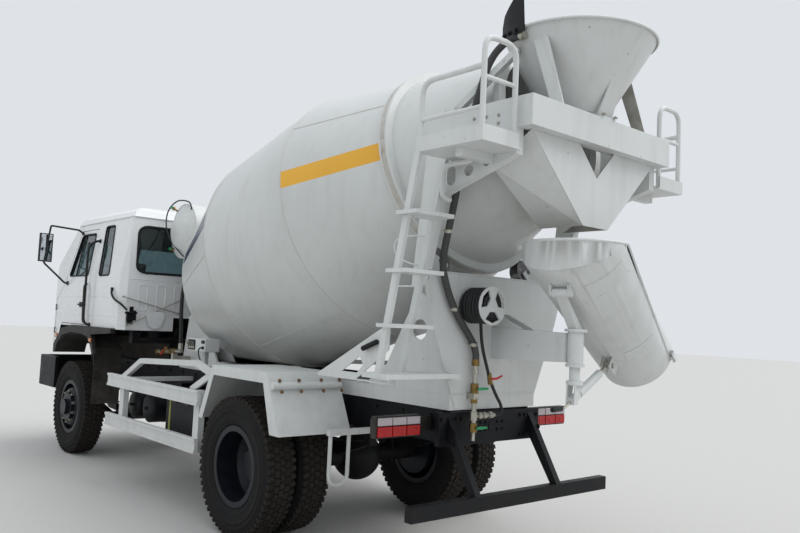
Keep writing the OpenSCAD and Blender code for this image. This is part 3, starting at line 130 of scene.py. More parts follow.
class Slot(Enum):
    """Material slots of the record."""

    WHITE = "white_paint"
    CAB = "cab_paint"
    BLACK = "black_paint"
    RIM = "rim_paint"
    TYRE = "tyre"
    STEEL = "steel"
    IRON = "iron"
    RUBBER = "rubber"
    GLASS = "glass"
    CLOTH = "cloth"
    PLASTIC = "plastic"
    LAMP = "lamp"


@dataclass(frozen=True)
class Finish:
    """A surface: its colours, how it was made, and what the road has left on it."""

    name: str
    slot: Slot
    colour: str
    shade: str              # colour of its darker patches
    roughness: float = 0.4
    metallic: float = 0.0
    specular: float = 0.5
    coat: float = 0.0       # clear lacquer on top
    mottle: float = 0.35    # strength of the patches
    mottle_mm: float = 420.0
    dust: float = 0.0       # share of dust near the ground
    dust_colour: str = "#8f877a"
    dust_top: float = 1.3   # height in metres at which the dust gives out
    streak: float = 0.0     # strength of the runs that rain left
    grain: float = 0.05     # height of the fine relief in mm
    grain_mm: float = 3.0
    rust: float = 0.0
    rust_colour: str = "#6e3d22"
    clear: float = 0.0      # share of light let through
    ribs_mm: float = 0.0    # distance between the ribs of a lens
    weave_mm: float = 0.0   # distance between threads

    def material(self) -> bpy.types.Material:
        """Build the material once, and return it after that.

        Returns:
            The material that carries the finish's name.
        """
        made = bpy.data.materials.get(self.name)
        if made:
            return made
        made = bpy.data.materials.new(self.name)
        made.use_nodes = True
        tree = made.node_tree
        tree.nodes.clear()
        place = add(tree, "TexCoord").outputs["Object"]
        patches = add(tree, "TexNoise", {"Vector": place, "Scale": 1000 / self.mottle_mm, "Detail": 5.0,
                                         "Roughness": 0.6}).outputs[0]
        spread = add(tree, "MapRange", {"Value": patches, "From Min": 0.35, "From Max": 0.68,
                                        "To Max": self.mottle})
        rough = add(tree, "MapRange", {"Value": patches, "From Min": 0.3, "From Max": 0.7,
                                       "To Min": self.roughness * 0.85,
                                       "To Max": min(1.0, self.roughness * 1.2)})
        look = self.film(tree, spread.outputs[0], (linear(self.colour), rough.outputs[0]), self.shade)
        if self.streak:
            # runs are long upright streaks, so the pattern is stretched along the height
            runs = add(tree, "Mapping", {"Vector": place, "Scale": (14.0, 14.0, 0.9)}).outputs[0]
            drips = add(tree, "TexNoise", {"Vector": runs, "Scale": 1.0, "Detail": 4.0}).outputs[0]
            amount = add(tree, "MapRange", {"Value": drips, "From Min": 0.5, "From Max": 0.78,
                                            "To Max": self.streak})
            look = self.film(tree, amount.outputs[0], look, self.dust_colour)
        if self.rust:
            flecks = add(tree, "TexNoise", {"Vector": place, "Scale": 22.0, "Detail": 8.0, "Roughness": 0.7})
            amount = add(tree, "MapRange", {"Value": flecks.outputs[0], "From Min": 0.66 - self.rust * 0.3,
                                            "From Max": 0.74 - self.rust * 0.2})
            look = self.film(tree, amount.outputs[0], look, self.rust_colour, 0.85)
        if self.dust:
            look = self.film(tree, self.dust_share(tree, place), look, self.dust_colour, 0.95)
        shader = add(tree, "BsdfPrincipled", {
            "Base Color": look[0], "Roughness": look[1], "Metallic": self.metallic,
            "Specular IOR Level": self.specular, "Coat Weight": self.coat, "Coat Roughness": 0.12,
            "Transmission Weight": self.clear, "Normal": self.relief(tree, place)})
        add(tree, "OutputMaterial", {"Surface": shader.outputs[0]})
        return made

    @staticmethod
    def film(tree: bpy.types.NodeTree, share: Any, under: tuple[Any, Any], colour: str,
             dull: Optional[float] = None) -> tuple[Any, Any]:
        """Lay a film over what is under it.

        Args:
            tree: The material's node tree.
            share: Socket that says how much of the film there is, 0 to 1.
            under: Colour and roughness under the film.
            colour: The film's colour in hex.
            dull: The film's roughness, if it has one of its own.

        Returns:
            Colour and roughness with the film on.
        """
        shown, rough = under
        shown = add(tree, "Mix", {0: share, 6: shown, 7: linear(colour)}, data_type="RGBA").outputs[2]
        if dull is not None:
            rough = add(tree, "Mix", {0: share, 2: rough, 3: dull}, data_type="FLOAT").outputs[0]
        return shown, rough

    def dust_share(self, tree: bpy.types.NodeTree, place: bpy.types.NodeSocket) -> bpy.types.NodeSocket:
        """Spread dust that thins out with height and clings in patches.

        Args:
            tree: The material's node tree.
            place: Socket with the place on the truck.

        Returns:
            Socket with the share of dust.
        """
        height = add(tree, "SeparateXYZ", {"Vector": place}).outputs["Z"]
        fall = add(tree, "MapRange", {"Value": height, "From Min": self.dust_top, "From Max": 0.15,
                                      "To Min": 0.12})
        powder = add(tree, "TexNoise", {"Vector": place, "Scale": 9.0, "Detail": 7.0, "Roughness": 0.65})
        cling = add(tree, "MapRange", {"Value": powder.outputs[0], "From Min": 0.3, "From Max": 0.62,
                                       "To Min": 0.25, "To Max": 1.0})
        amount = add(tree, "Math", {0: fall.outputs[0], 1: cling.outputs[0]}, operation="MULTIPLY")
        return add(tree, "Math", {0: amount.outputs[0], 1: self.dust}, operation="MULTIPLY").outputs[0]

    def relief(self, tree: bpy.types.NodeTree, place: bpy.types.NodeSocket) -> bpy.types.NodeSocket:
        """Raise the fine grain, and ribs or threads where the finish has them.

        Args:
            tree: The material's node tree.
            place: Socket with the place on the truck.

        Returns:
            Socket with the bent normal.
        """
        fine = add(tree, "TexNoise", {"Vector": place, "Scale": 1000 / self.grain_mm, "Detail": 3.0})
        bump = add(tree, "Bump", {"Strength": 1.0, "Distance": self.grain / 1000, "Height": fine.outputs[0]})
        # each row: direction, pitch in mm, strength and height in metres
        for way, pitch, strength, height in (("Y", self.ribs_mm, 0.7, 0.001),
                                             ("Y", self.weave_mm, 0.5, 0.0006),
                                             ("Z", self.weave_mm, 0.5, 0.0006)):
            if pitch:
                waves = add(tree, "TexWave", {"Vector": place, "Scale": WAVE_MM / pitch}, bands_direction=way)
                bump = add(tree, "Bump", {"Strength": strength, "Distance": height,
                                          "Height": waves.outputs[0], "Normal": bump.outputs[0]})
        return bump.outputs[0]


# Alkyd enamel sprayed on welded plate: even and softly glossy, greyer where rain and cement dust ran down.
DRUM_ENAMEL = Finish("drum_enamel", Slot.WHITE, "#cdd0ce", "#bec1bf", 0.34, coat=0.2, mottle=0.5,
                     mottle_mm=900, streak=0.12, dust=0.2, dust_top=2.0, grain=0.02, grain_mm=6)
FRAME_ENAMEL = Finish("frame_enamel", Slot.WHITE, "#d3d6d5", "#c4c7c5", 0.4, mottle=0.4, streak=0.14,
                      dust=0.28, dust_top=1.4, grain=0.03, rust=0.02)
# Baked cab lacquer: whiter and glossier than the body, with road dust on the skirts.
CAB_LACQUER = Finish("cab_lacquer", Slot.CAB, "#e3e5e6", "#d6d8da", 0.24, coat=0.4, mottle=0.35,
                     mottle_mm=700, streak=0.03, dust=0.35, dust_top=1.9, grain=0.01, grain_mm=8)
# Chassis paint: thin blue-black coat, satin, with grey road dust on every ledge.
CHASSIS_PAINT = Finish("chassis_paint", Slot.BLACK, "#090b0f", "#11141a", 0.45, specular=0.2, mottle=0.6,
                       mottle_mm=150, dust=0.22, dust_colour="#3c3832", dust_top=1.1, grain=0.12, rust=0.06)
# Rims are sprayed the same blue-black as the frame; the paint lies thick and a little uneven in the dish.
RIM_PAINT = Finish("sprayed_rim_enamel", Slot.RIM, "#10141b", "#1a1e26", 0.4, specular=0.3, mottle=0.6,
                   mottle_mm=90, grain=0.1, rust=0.05)
# Natural rubber loaded with carbon black; dry clay makes the tread brown-grey.
TYRE_RUBBER = Finish("tyre_rubber", Slot.TYRE, "#18191b", "#242220", 0.82, specular=0.2, mottle=0.9,
                     mottle_mm=60, grain=0.35, grain_mm=2.5)
TREAD_RUBBER = Finish("tread_rubber", Slot.TYRE, "#211f1e", "#39332c", 0.9, specular=0.2, mottle=0.9,
                      mottle_mm=35, grain=0.5, grain_mm=2.5)
# Extruded rubber: black and satin, with a faint bloom.
HOSE_RUBBER = Finish("hose_rubber", Slot.RUBBER, "#17181a", "#2a2b2d", 0.6, mottle=0.6, mottle_mm=60,
                     grain=0.15)
SEAL_RUBBER = Finish("seal_rubber", Slot.RUBBER, "#101113", "#1a1b1e", 0.55, specular=0.3, mottle=0.5,
                     mottle_mm=80, grain=0.08)
# Turned steel polished by rolling: brighter where the ring runs, with a film of grease.
RUNNING_STEEL = Finish("running_steel", Slot.STEEL, "#8b8c8e", "#5c5a57", 0.3, metallic=0.9, mottle=0.8,
                       mottle_mm=60, grain=0.1, rust=0.25)
# Zinc plating, dulled by weather to a warm grey with small darker spots.
ZINC = Finish("zinc_plate", Slot.STEEL, "#b9b7ac", "#8f8d84", 0.35, metallic=0.85, mottle=0.6, mottle_mm=20,
              grain=0.05)
# Cast brass that has gone brown: it shines only softly.
BRASS = Finish("brass", Slot.STEEL, "#8f7745", "#665533", 0.42, metallic=0.9, mottle=0.6, mottle_mm=25,
               grain=0.05)
# Sand-cast iron: rough and dark, under oily dust and rust.
CAST_IRON = Finish("cast_iron", Slot.IRON, "#1c1d1f", "#2c2a27", 0.7, specular=0.3, mottle=0.8, mottle_mm=120,
                   dust=0.6, dust_colour="#6f675c", grain=0.8, grain_mm=4, rust=0.3)
# Moulded polypropylene: black, with a fine leathery grain that dust fills.
DARK_PLASTIC = Finish("moulded_plastic", Slot.PLASTIC, "#131416", "#1e1f22", 0.5, specular=0.25, mottle=0.4,
                      mottle_mm=200, dust=0.3, dust_top=1.6, grain=0.25, grain_mm=1.6)
# Stripes sprayed on the drum over its enamel, and as glossy.
YELLOW_STRIPE = Finish("yellow_stripe", Slot.WHITE, "#e8ae2b", "#d99f22", 0.34, coat=0.2, mottle=0.4,
                       grain=0.02)
NAVY_STRIPE = Finish("navy_stripe", Slot.WHITE, "#27364f", "#1f2c42", 0.34, coat=0.2, mottle=0.4, grain=0.02)
# Painted weld: ripples a few millimetres apart, and rust where the paint missed it.
WELD = Finish("weld_bead", Slot.WHITE, "#c7c8c1", "#b4b4ab", 0.5, mottle=0.6, mottle_mm=12, grain=0.8,
              grain_mm=7)
RUSTY_WELD = Finish("rusty_weld", Slot.WHITE, "#9c8a78", "#7d5a42", 0.8, mottle=0.9, mottle_mm=60, grain=0.6,
                    grain_mm=6)
# The ring runs on its rollers through its paint, which is smeared grey and stained rather than bare.
RING_TRACK = Finish("smeared_enamel", Slot.WHITE, "#bfbdb7", "#a8a39a", 0.42, mottle=0.8, mottle_mm=60,
                    grain=0.1, rust=0.2, rust_colour="#8a6f58")
# A rough grey lining, darker than the enamel, on the inner faces of the hopper, the collector and the chutes.
INNER_GREY = Finish("inner_grey_lining", Slot.WHITE, "#a9a7a0", "#8e8b83", 0.9, mottle=0.9, mottle_mm=120, grain=0.9,
                grain_mm=5)
# Handles dipped in plastic: one strong, even colour each.
GREEN_HANDLE = Finish("green_handle", Slot.PLASTIC, "#16915a", "#117a4b", 0.4, mottle=0.3, grain=0.1)
RED_HANDLE = Finish("red_handle", Slot.PLASTIC, "#c22a26", "#a3211e", 0.4, mottle=0.3, grain=0.1)
# Moulded acrylic lenses: glossy, coloured through, with upright ribs inside.
AMBER_LENS = Finish("amber_lens", Slot.LAMP, "#d9741c", "#c4651a", 0.12, coat=0.6, clear=0.25, mottle=0.2,
                    ribs_mm=11.84)
RED_LENS = Finish("red_lens", Slot.LAMP, "#b0080e", "#8c060b", 0.16, specular=0.3, coat=0.25, mottle=0.3,
                  mottle_mm=60, ribs_mm=13.82)
CLEAR_LENS = Finish("clear_lens", Slot.LAMP, "#b9aeb2", "#a1959a", 0.12, coat=0.8, clear=0.1, mottle=0.3,
                    mottle_mm=40, ribs_mm=13.82)
HEAD_LENS = Finish("head_lamp_lens", Slot.LAMP, "#d9dfe4", "#c6ccd2", 0.06, coat=0.9, clear=0.5, mottle=0.2,
                   ribs_mm=17.77)
# Clear float glass, faintly green, with a thin film of dust.
WINDOW_GLASS = Finish("window_glass", Slot.GLASS, "#8fa3a6", "#7f9294", 0.04, clear=0.95, mottle=0.3,
                      grain=0.0)
# Silvered glass, which mirrors its surroundings.
MIRROR_GLASS = Finish("mirror_glass", Slot.PLASTIC, "#d5dade", "#c9ced2", 0.03, metallic=1.0, mottle=0.1,
                      grain=0.0)
# Smooth delivery hose: black rubber bleached grey by sun and cement.
GREY_HOSE = Finish("bleached_hose_rubber", Slot.RUBBER, "#2c2e31", "#3c3e40", 0.62, mottle=0.6, mottle_mm=90,
                   dust=0.2, dust_top=3.6, grain=0.15)
# Woven polyester webbing, olive; its threads are drawn 8 mm apart so that they show.
STRAP_WEBBING = Finish("strap_webbing", Slot.CLOTH, "#969c50", "#7c8244", 0.85, mottle=0.5, mottle_mm=40,
                       dust=0.3, grain=0.2, weave_mm=7.9)
# Bolt heads left bare: zinc gone brown where the road salt reached it.
BROWN_BOLT = Finish("rusted_zinc", Slot.STEEL, "#8d7357", "#5e3f2a", 0.7, metallic=0.3, mottle=0.9,
                    mottle_mm=9, grain=0.2, grain_mm=2)
# Injection-moulded cab lining: dull warm grey, finely grained.
CAB_LINING = Finish("cab_lining", Slot.PLASTIC, "#2e2f31", "#3a3b3d", 0.75, specular=0.3, mottle=0.4,
                    mottle_mm=300, grain=0.3, grain_mm=1.5)
# Woven seat cloth; its threads are drawn 6 mm apart so that they still show.
SEAT_CLOTH = Finish("seat_cloth", Slot.CLOTH, "#26272b", "#33353a", 0.9, mottle=0.5, mottle_mm=80, grain=0.2,
                    weave_mm=5.92)


class Shape:
    """A mesh under construction, made with bmesh operators in millimetres from the rear axle."""

    def __init__(self) -> None:
        """Start with an empty mesh."""
        self.bm = bmesh.new()

    def block(self, x: Sequence[float], y: Sequence[float], z: Sequence[float]) -> None:
        """Add a box.

        Args:
            x: Its two limits along the truck, in mm.
            y: Its two limits across the truck.
            z: Its lower and upper limits.
        """
        low, high = spot(x[0], y[0], z[0]), spot(x[1], y[1], z[1])
        place = Matrix.Translation((low + high) / 2) @ Matrix.Diagonal((*(high - low), 1.0))
        bmesh.ops.create_cube(self.bm, size=1.0, matrix=place)

    def rod(self, a: Vector, b: Vector, r: float, sides: int = 16, r2: Optional[float] = None) -> None:
        """Add a round bar between two points.

        Args:
            a: First end, in metres.
            b: Second end, in metres.
            r: Radius at the first end, in mm.
            sides: Number of flats round it.
            r2: Radius at the second end, the same if left out.
        """
        run = b - a
        place = Matrix.Translation((a + b) / 2) @ run.to_track_quat("Z", "Y").to_matrix().to_4x4()
        bmesh.ops.create_cone(self.bm, cap_ends=True, segments=sides, radius1=r / 1000,
                              radius2=(r if r2 is None else r2) / 1000, depth=run.length, matrix=place)

    def plate(self, outline: Sequence[Vector], thickness: Vector) -> None:
        """Add a flat plate.

        Args:
            outline: Corners of one face, in metres.
            thickness: Way from that face to the other, in metres.
        """
        face = self.bm.faces.new([self.bm.verts.new(p) for p in outline])
        grown = bmesh.ops.extrude_face_region(self.bm, geom=[face])["geom"]
        moved = [g for g in grown if isinstance(g, bmesh.types.BMVert)]
        bmesh.ops.translate(self.bm, verts=moved, vec=thickness)

    def lathe(self, section: Sequence[tuple[float, float]], origin: Vector, axis: Vector,
              steps: int = 96) -> None:
        """Turn a closed section about an axis.

        Args:
            section: Pairs of distance along the axis and radius, in mm, in order round the section.
            origin: Point on the axis where the distance is zero.
            axis: Unit vector along the axis.
            steps: Number of steps round the circle.
        """
        side = axis.orthogonal().normalized()
        ring = [self.bm.verts.new(origin + axis * (s / 1000) + side * (r / 1000)) for s, r in section]
        edges = [self.bm.edges.new((ring[i], ring[(i + 1) % len(ring)])) for i in range(len(ring))]
        bmesh.ops.spin(self.bm, geom=ring + edges, cent=origin, axis=axis, angle=math.tau, steps=steps,
                       use_merge=True, use_duplicate=False)
        bmesh.ops.remove_doubles(self.bm, verts=self.bm.verts, dist=1e-6)

    def tube(self, route: Sequence[Vector], r: float, sides: int = 12, closed: bool = False) -> None:
        """Add a round tube.

        Args:
            route: Points along its centreline, in metres.
            r: Radius in mm.
            sides: Number of flats round it.
            closed: Whether its end runs back into its start.
        """
        curve = bpy.data.curves.new("route", "CURVE")
        curve.dimensions = "3D"
        curve.bevel_depth, curve.bevel_resolution, curve.use_fill_caps = r / 1000, max(1, sides // 4), True
        line = curve.splines.new("POLY")
        line.points.add(len(route) - 1)
        for point, p in zip(line.points, route):
            point.co = (*p, 1.0)
        line.use_cyclic_u = closed
        carrier = bpy.data.objects.new("route", curve)
        bpy.context.scene.collection.objects.link(carrier)
        bpy.context.view_layer.update()
        mesh = bpy.data.meshes.new_from_object(carrier.evaluated_get(bpy.context.evaluated_depsgraph_get()))
        self.bm.from_mesh(mesh)
        bpy.data.objects.remove(carrier)
        bpy.data.curves.remove(curve)
        bpy.data.meshes.remove(mesh)

    def take(self, node: str) -> "Shape":
        """Take in a copy of a CAD node's mesh, merged, with its flat faces joined up again.

        Args:
            node: Name of the node.

        Returns:
            This shape, with the copy in it.
        """
        self.bm.from_mesh(frame["nodes"][node].data)
        bmesh.ops.remove_doubles(self.bm, verts=self.bm.verts, dist=2e-6)
        bmesh.ops.dissolve_limit(self.bm, angle_limit=math.radians(0.8), verts=self.bm.verts,
                                 edges=self.bm.edges)
        return self

    def bolts(self, places: Sequence[Vector], out: Vector, r: float) -> None:
        """Add hexagon heads on washers.

        Args:
            places: Middles of the heads' feet, in metres.
            out: Direction that they stand out along, of length one.
            r: Radius of a head in mm.
        """
        for at in places:
            self.rod(at - out * 0.003, at + out * 0.003, r * 1.7, 14)
            self.rod(at, at + out * (r * 1.1 / 1000), r, 6)

    def mirror(self) -> None:
        """Add the mirror image across the truck's centreline."""
        bmesh.ops.mirror(self.bm, geom=list(self.bm.verts) + list(self.bm.edges) + list(self.bm.faces),
                         axis="Y", merge_dist=-1.0)

    def piece_on(self, side: int, name: str, finish: Finish, body: str, bevel: float = 0.0) -> None:
        """Close the mesh into a piece on either side of the truck.

        Args:
            side: 1 to leave it on the left, -1 to turn it over to the right.
            name: Name of the piece.
            finish: Its finish.
            body: CAD body that it rides on.
            bevel: Width of the rounded edges in mm, none if zero.
        """
        if side < 0:
            bmesh.ops.transform(self.bm, matrix=Matrix.Diagonal((1, -1, 1, 1)), verts=self.bm.verts)
        self.piece(name, finish, body, bevel)

    def piece(self, name: str, finish: Finish, body: str, bevel: float = 0.0, crease: float = 35.0,
              replaces: Sequence[str] = (), fix: bool = True) -> bpy.types.Object:
        """Close the mesh into an object that rides on a body.

        Args:
            name: Name of the piece.
            finish: Its finish.
            body: CAD body that it rides on.
            bevel: Width of the rounded edges in mm, none if zero.
            crease: Angle in degrees above which an edge stays sharp.
            replaces: CAD nodes that it stands for.
            fix: Whether normals are made to point outwards again.

        Returns:
            The finished object.
        """
        if fix:
            bmesh.ops.recalc_face_normals(self.bm, faces=self.bm.faces)
        mesh = bpy.data.meshes.new(name)
        self.bm.to_mesh(mesh)
        self.bm.free()
        for face in mesh.polygons:
            face.use_smooth = True
        mesh.set_sharp_from_angle(angle=math.radians(crease))
        made = bpy.data.objects.new(name, mesh)
        bpy.context.scene.collection.objects.link(made)
        mesh.materials.append(finish.material())
        if bevel:
            edge = made.modifiers.new("edges", "BEVEL")
            edge.width, edge.segments, edge.profile, edge.limit_method = bevel / 1000, 2, 0.5, "ANGLE"
            edge.angle_limit, edge.harden_normals = math.radians(30), True
        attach(made, body)
        if replaces:
            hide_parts(*replaces)
        LOG.info("piece %s rides on %s", name, body)
        return made


def smooth(route: Sequence[Vector], steps: int) -> list[Vector]:
    """Run a smooth curve through a route's points.

    Args:
        route: Points in metres.
        steps: Stretches between each two points.

    Returns:
        The curve's points, the first and the last as given.
    """
    path = [route[0]]
    for i in range(len(route) - 1):
        a, b, c, d = route[max(0, i - 1)], route[i], route[i + 1], route[min(len(route) - 1, i + 2)]
        for k in range(1, steps + 1):
            t = k / steps
            path.append((2 * b + (c - a) * t + (2 * a - 5 * b + 4 * c - d) * t * t
                         + (3 * b - a - 3 * c + d) * t ** 3) / 2)
    return path


def rounded(outline: Sequence[Vector], r: float) -> list[Vector]:
    """Round the corners of a closed outline.

    Args:
        outline: Corners in metres.
        r: How far back from each corner the rounding starts, in mm.

    Returns:
        The outline with five points round each corner.
    """
    made = []
    for i, p in enumerate(outline):
        before, after = outline[i - 1] - p, outline[(i + 1) % len(outline)] - p
        a = p + before.normalized() * min(r / 1000, before.length * 0.45)
        b = p + after.normalized() * min(r / 1000, after.length * 0.45)
        made += [a * (1 - t) ** 2 + p * (2 * t * (1 - t)) + b * t ** 2 for t in (0.0, 0.25, 0.5, 0.75, 1.0)]
    return made


def rounded_flat(pairs: Sequence[tuple[float, float]], r: float) -> list[tuple[float, float]]:
    """Round the corners of a flat outline.

    Args:
        pairs: Corners as pairs of millimetres.
        r: How far back from each corner the rounding starts, in mm.

    Returns:
        The rounded outline, in pairs as well.
    """
    return [(p.x * 1000, p.y * 1000) for p in rounded([Vector((a, b, 0)) / 1000 for a, b in pairs], r)]


def hose(name: str, finish: Finish, route: Sequence[Vector], r: float,
         replaces: Sequence[str] = ()) -> None:
    """Lay a hose that is fixed at both ends.

    Args:
        name: Name of the piece.
        finish: Its rubber.
        route: Points along its centreline, in metres.
        r: Radius in mm.
        replaces: CAD nodes that it stands for.
    """
    path = smooth(route, 4)
    shape = Shape()
    shape.tube(path, r, 16)
    made = shape.piece(name, finish, "chassis", replaces=replaces)


def on_drum(along: float, turn: float, out: float = 0.0) -> Vector:
    """Find a point on the drum's skin.

    Args:
        along: Distance from the head along the axis, in mm.
        turn: Degrees below the left-hand horizontal.
        out: Height above the skin, in mm.

    Returns:
        The point in metres.
    """
    angle, radius = math.radians(turn), (Drum.radius(along) + out) / 1000
    outwards = LEFT * math.cos(angle) + DRUM_DOWN * math.sin(angle)
    return DRUM_HEAD + DRUM_AXIS * (along / 1000) + outwards * radius


@dataclass
class Drum:
    """The mixing drum: a turned skin with its weld beads, roller ring, mouth flange and painted stripes."""

    # distance from the closed end and radius
    skin: Outline = ((0, 0), (0, 170), (90, 320), (183, 767), (1101.4, 1022), (2286, 1022), (3134.7, 752),
                     (4014.6, 470))
    # where the roller ring starts, its width and its radius
    ring: tuple[float, float, float] = (3134.7, 90, 780)
    wall: float = 8
    # a band's two rows: distance from the closed end, and the turns of its two edges there
    bands: tuple[tuple[tuple[float, float, float], tuple[float, float, float]], ...] = (
        ((2289, -10.9, -3.3), (3118, -8.4, 1.6)), ((190, -20.5, -11.5), (1098, -20, -10.5)))
    # where a seam along the drum starts and ends, and its turn
    seams: tuple[tuple[float, float, float], ...] = (
        (2290, 3130, -34.5), (1105, 2284, 56), (190, 1098, 4), (1105, 2284, -120), (2290, 3130, 150),
        (190, 1098, -170))
    head_bolts: int = 12
    bolt_circle: float = 145

    @classmethod
    def radius(cls, along: float) -> float:
        """Find the skin's radius.

        Args:
            along: Distance from the closed end along the axis, in mm.

        Returns:
            The radius there, in mm.
        """
        for (a, r), (b, q) in zip(cls.skin, cls.skin[1:]):
            if a <= along <= b and b > a:
                return r + (q - r) * (along - a) / (b - a)
        return cls.skin[-1][1]

    def build(self) -> None:
        """Build the drum's pieces."""
        self.shell()
        self.rings()
        beads = Shape()
        for along, _ in self.skin[3:6]:
            r = self.radius(along)
            beads.lathe(((along - 7, r - 6), (along - 4, r + 2.5), (along + 4, r + 2.5), (along + 7, r - 6)),
                        DRUM_HEAD, DRUM_AXIS, 180)
        for first, last, turn in self.seams:
            beads.tube([on_drum(first + (last - first) * i / 12, turn, 0.5) for i in range(13)], 3.2, 8)
        beads.piece("drum_weld_beads", WELD, "drum")
        rust = Shape()
        start = self.ring[0]
        rust.lathe(((start - 5, 750), (start - 4, 756.5), (start - 1, 758), (start + 1, 750)),
                   DRUM_HEAD, DRUM_AXIS, 180)
        rust.piece("drum_rust_line", RUSTY_WELD, "drum")
        bolts = Shape()
        for i in range(self.head_bolts):
            angle = math.tau * i / self.head_bolts
            outwards = LEFT * math.cos(angle) + DRUM_DOWN * math.sin(angle)
            at = DRUM_HEAD + outwards * (self.bolt_circle / 1000)
            bolts.rod(at - DRUM_AXIS * 0.012, at + DRUM_AXIS * 0.006, 14, 6)
        bolts.piece("drum_head_bolts", ZINC, "drum")

    def shell(self) -> None:
        """Turn the skin with its wall, and paint the stripes on both sides."""
        shell = Shape()
        inner = [(max(s, self.wall), max(0.0, r - self.wall)) for s, r in self.skin]
        inner[-1] = (self.skin[-1][0], self.skin[-1][1] - self.wall)
        shell.lathe([*self.skin, *inner[::-1]], DRUM_HEAD, DRUM_AXIS, 180)
        for index, band in enumerate(self.bands, 1):
            for side in (1, -1):
                rows = [(s, *(t if side > 0 else 180 - t for t in turns)) for s, *turns in band]
                self.stripe(shell, rows, index)
        skin = shell.piece("drum_skin", DRUM_ENAMEL, "drum", crease=22, replaces=("drum_shell",), fix=False)
        skin.data.materials.append(YELLOW_STRIPE.material())
        skin.data.materials.append(NAVY_STRIPE.material())

    def rings(self) -> None:
        """Turn the roller ring with its track, and the flange round the mouth."""
        start, width, top = self.ring
        end = start + width
        ring = Shape()
        ring.lathe(((start, 740), (start, top - 6), (start + 6, top), (end - 6, top), (end, top - 6),
                    (end, 715)), DRUM_HEAD, DRUM_AXIS, 180)
        mouth = self.skin[-1][0]
        ring.lathe(((mouth - 60, 470), (mouth - 60, 512), (mouth - 57, 515), (mouth - 3, 515), (mouth, 512),
                    (mouth, 462)), DRUM_HEAD, DRUM_AXIS, 128)
        ring.piece("drum_rings", DRUM_ENAMEL, "drum", crease=30)
        track = Shape()
        track.lathe(((start + 20, top - 2), (start + 20, top + 0.2), (end - 20, top + 0.2),
                     (end - 20, top - 2)), DRUM_HEAD, DRUM_AXIS, 180)
        track.piece("drum_ring_track", RING_TRACK, "drum")

    def stripe(self, shell: Shape, rows: Sequence[tuple[float, float, float]], index: int) -> None:
        """Cut a straight band into the skin and give its faces a material of their own.

        Args:
            shell: The skin.
            rows: Two rows of distance along the axis and the band's two turns there.
            index: Number of the band's material.
        """
        (a, a0, a1), (b, b0, b1) = rows
        middle = on_drum((a + b) / 2, (a0 + a1 + b0 + b1) / 4)
        cuts = []
        for turn_a, turn_b in ((a0, b0), (a1, b1)):
            first, last = on_drum(a, turn_a), on_drum(b, turn_b)
            between = (first + last) / 2
            outward = between - (DRUM_HEAD + DRUM_AXIS * (between - DRUM_HEAD).dot(DRUM_AXIS))
            normal = (last - first).cross(outward).normalized()
            if normal.dot(middle - first) < 0:
                normal = -normal
            cuts.append((first, normal))
        cuts += [(DRUM_HEAD + DRUM_AXIS * (a / 1000), DRUM_AXIS),
                 (DRUM_HEAD + DRUM_AXIS * (b / 1000), -DRUM_AXIS)]
        facing = middle - DRUM_HEAD - DRUM_AXIS * (middle - DRUM_HEAD).dot(DRUM_AXIS)

        def near(face: bmesh.types.BMFace) -> bool:
            """Tell whether a face lies on the band's side of the drum, on the outer skin.

            Args:
                face: A face of the shell.

            Returns:
                Whether it does.
            """
            centre = face.calc_center_median() - DRUM_HEAD
            s = centre.dot(DRUM_AXIS)
            radial = centre - DRUM_AXIS * s
            outer = radial.length * 1000 > self.radius(s * 1000) - self.wall * 0.5 - 3
            return outer and a / 1000 - 0.3 < s < b / 1000 + 0.3 and radial.dot(facing) > 0

        for point, normal in cuts:
            faces = [f for f in shell.bm.faces if near(f)]
            edges = list({e for f in faces for e in f.edges})
            verts = list({v for f in faces for v in f.verts})
            bmesh.ops.bisect_plane(shell.bm, geom=verts + edges + faces, plane_co=point, plane_no=normal,
                                   dist=1e-6)
        for face in shell.bm.faces:
            centre = face.calc_center_median()
            if near(face) and all((centre - p).dot(n) > -1e-5 for p, n in cuts):
                face.material_index = index


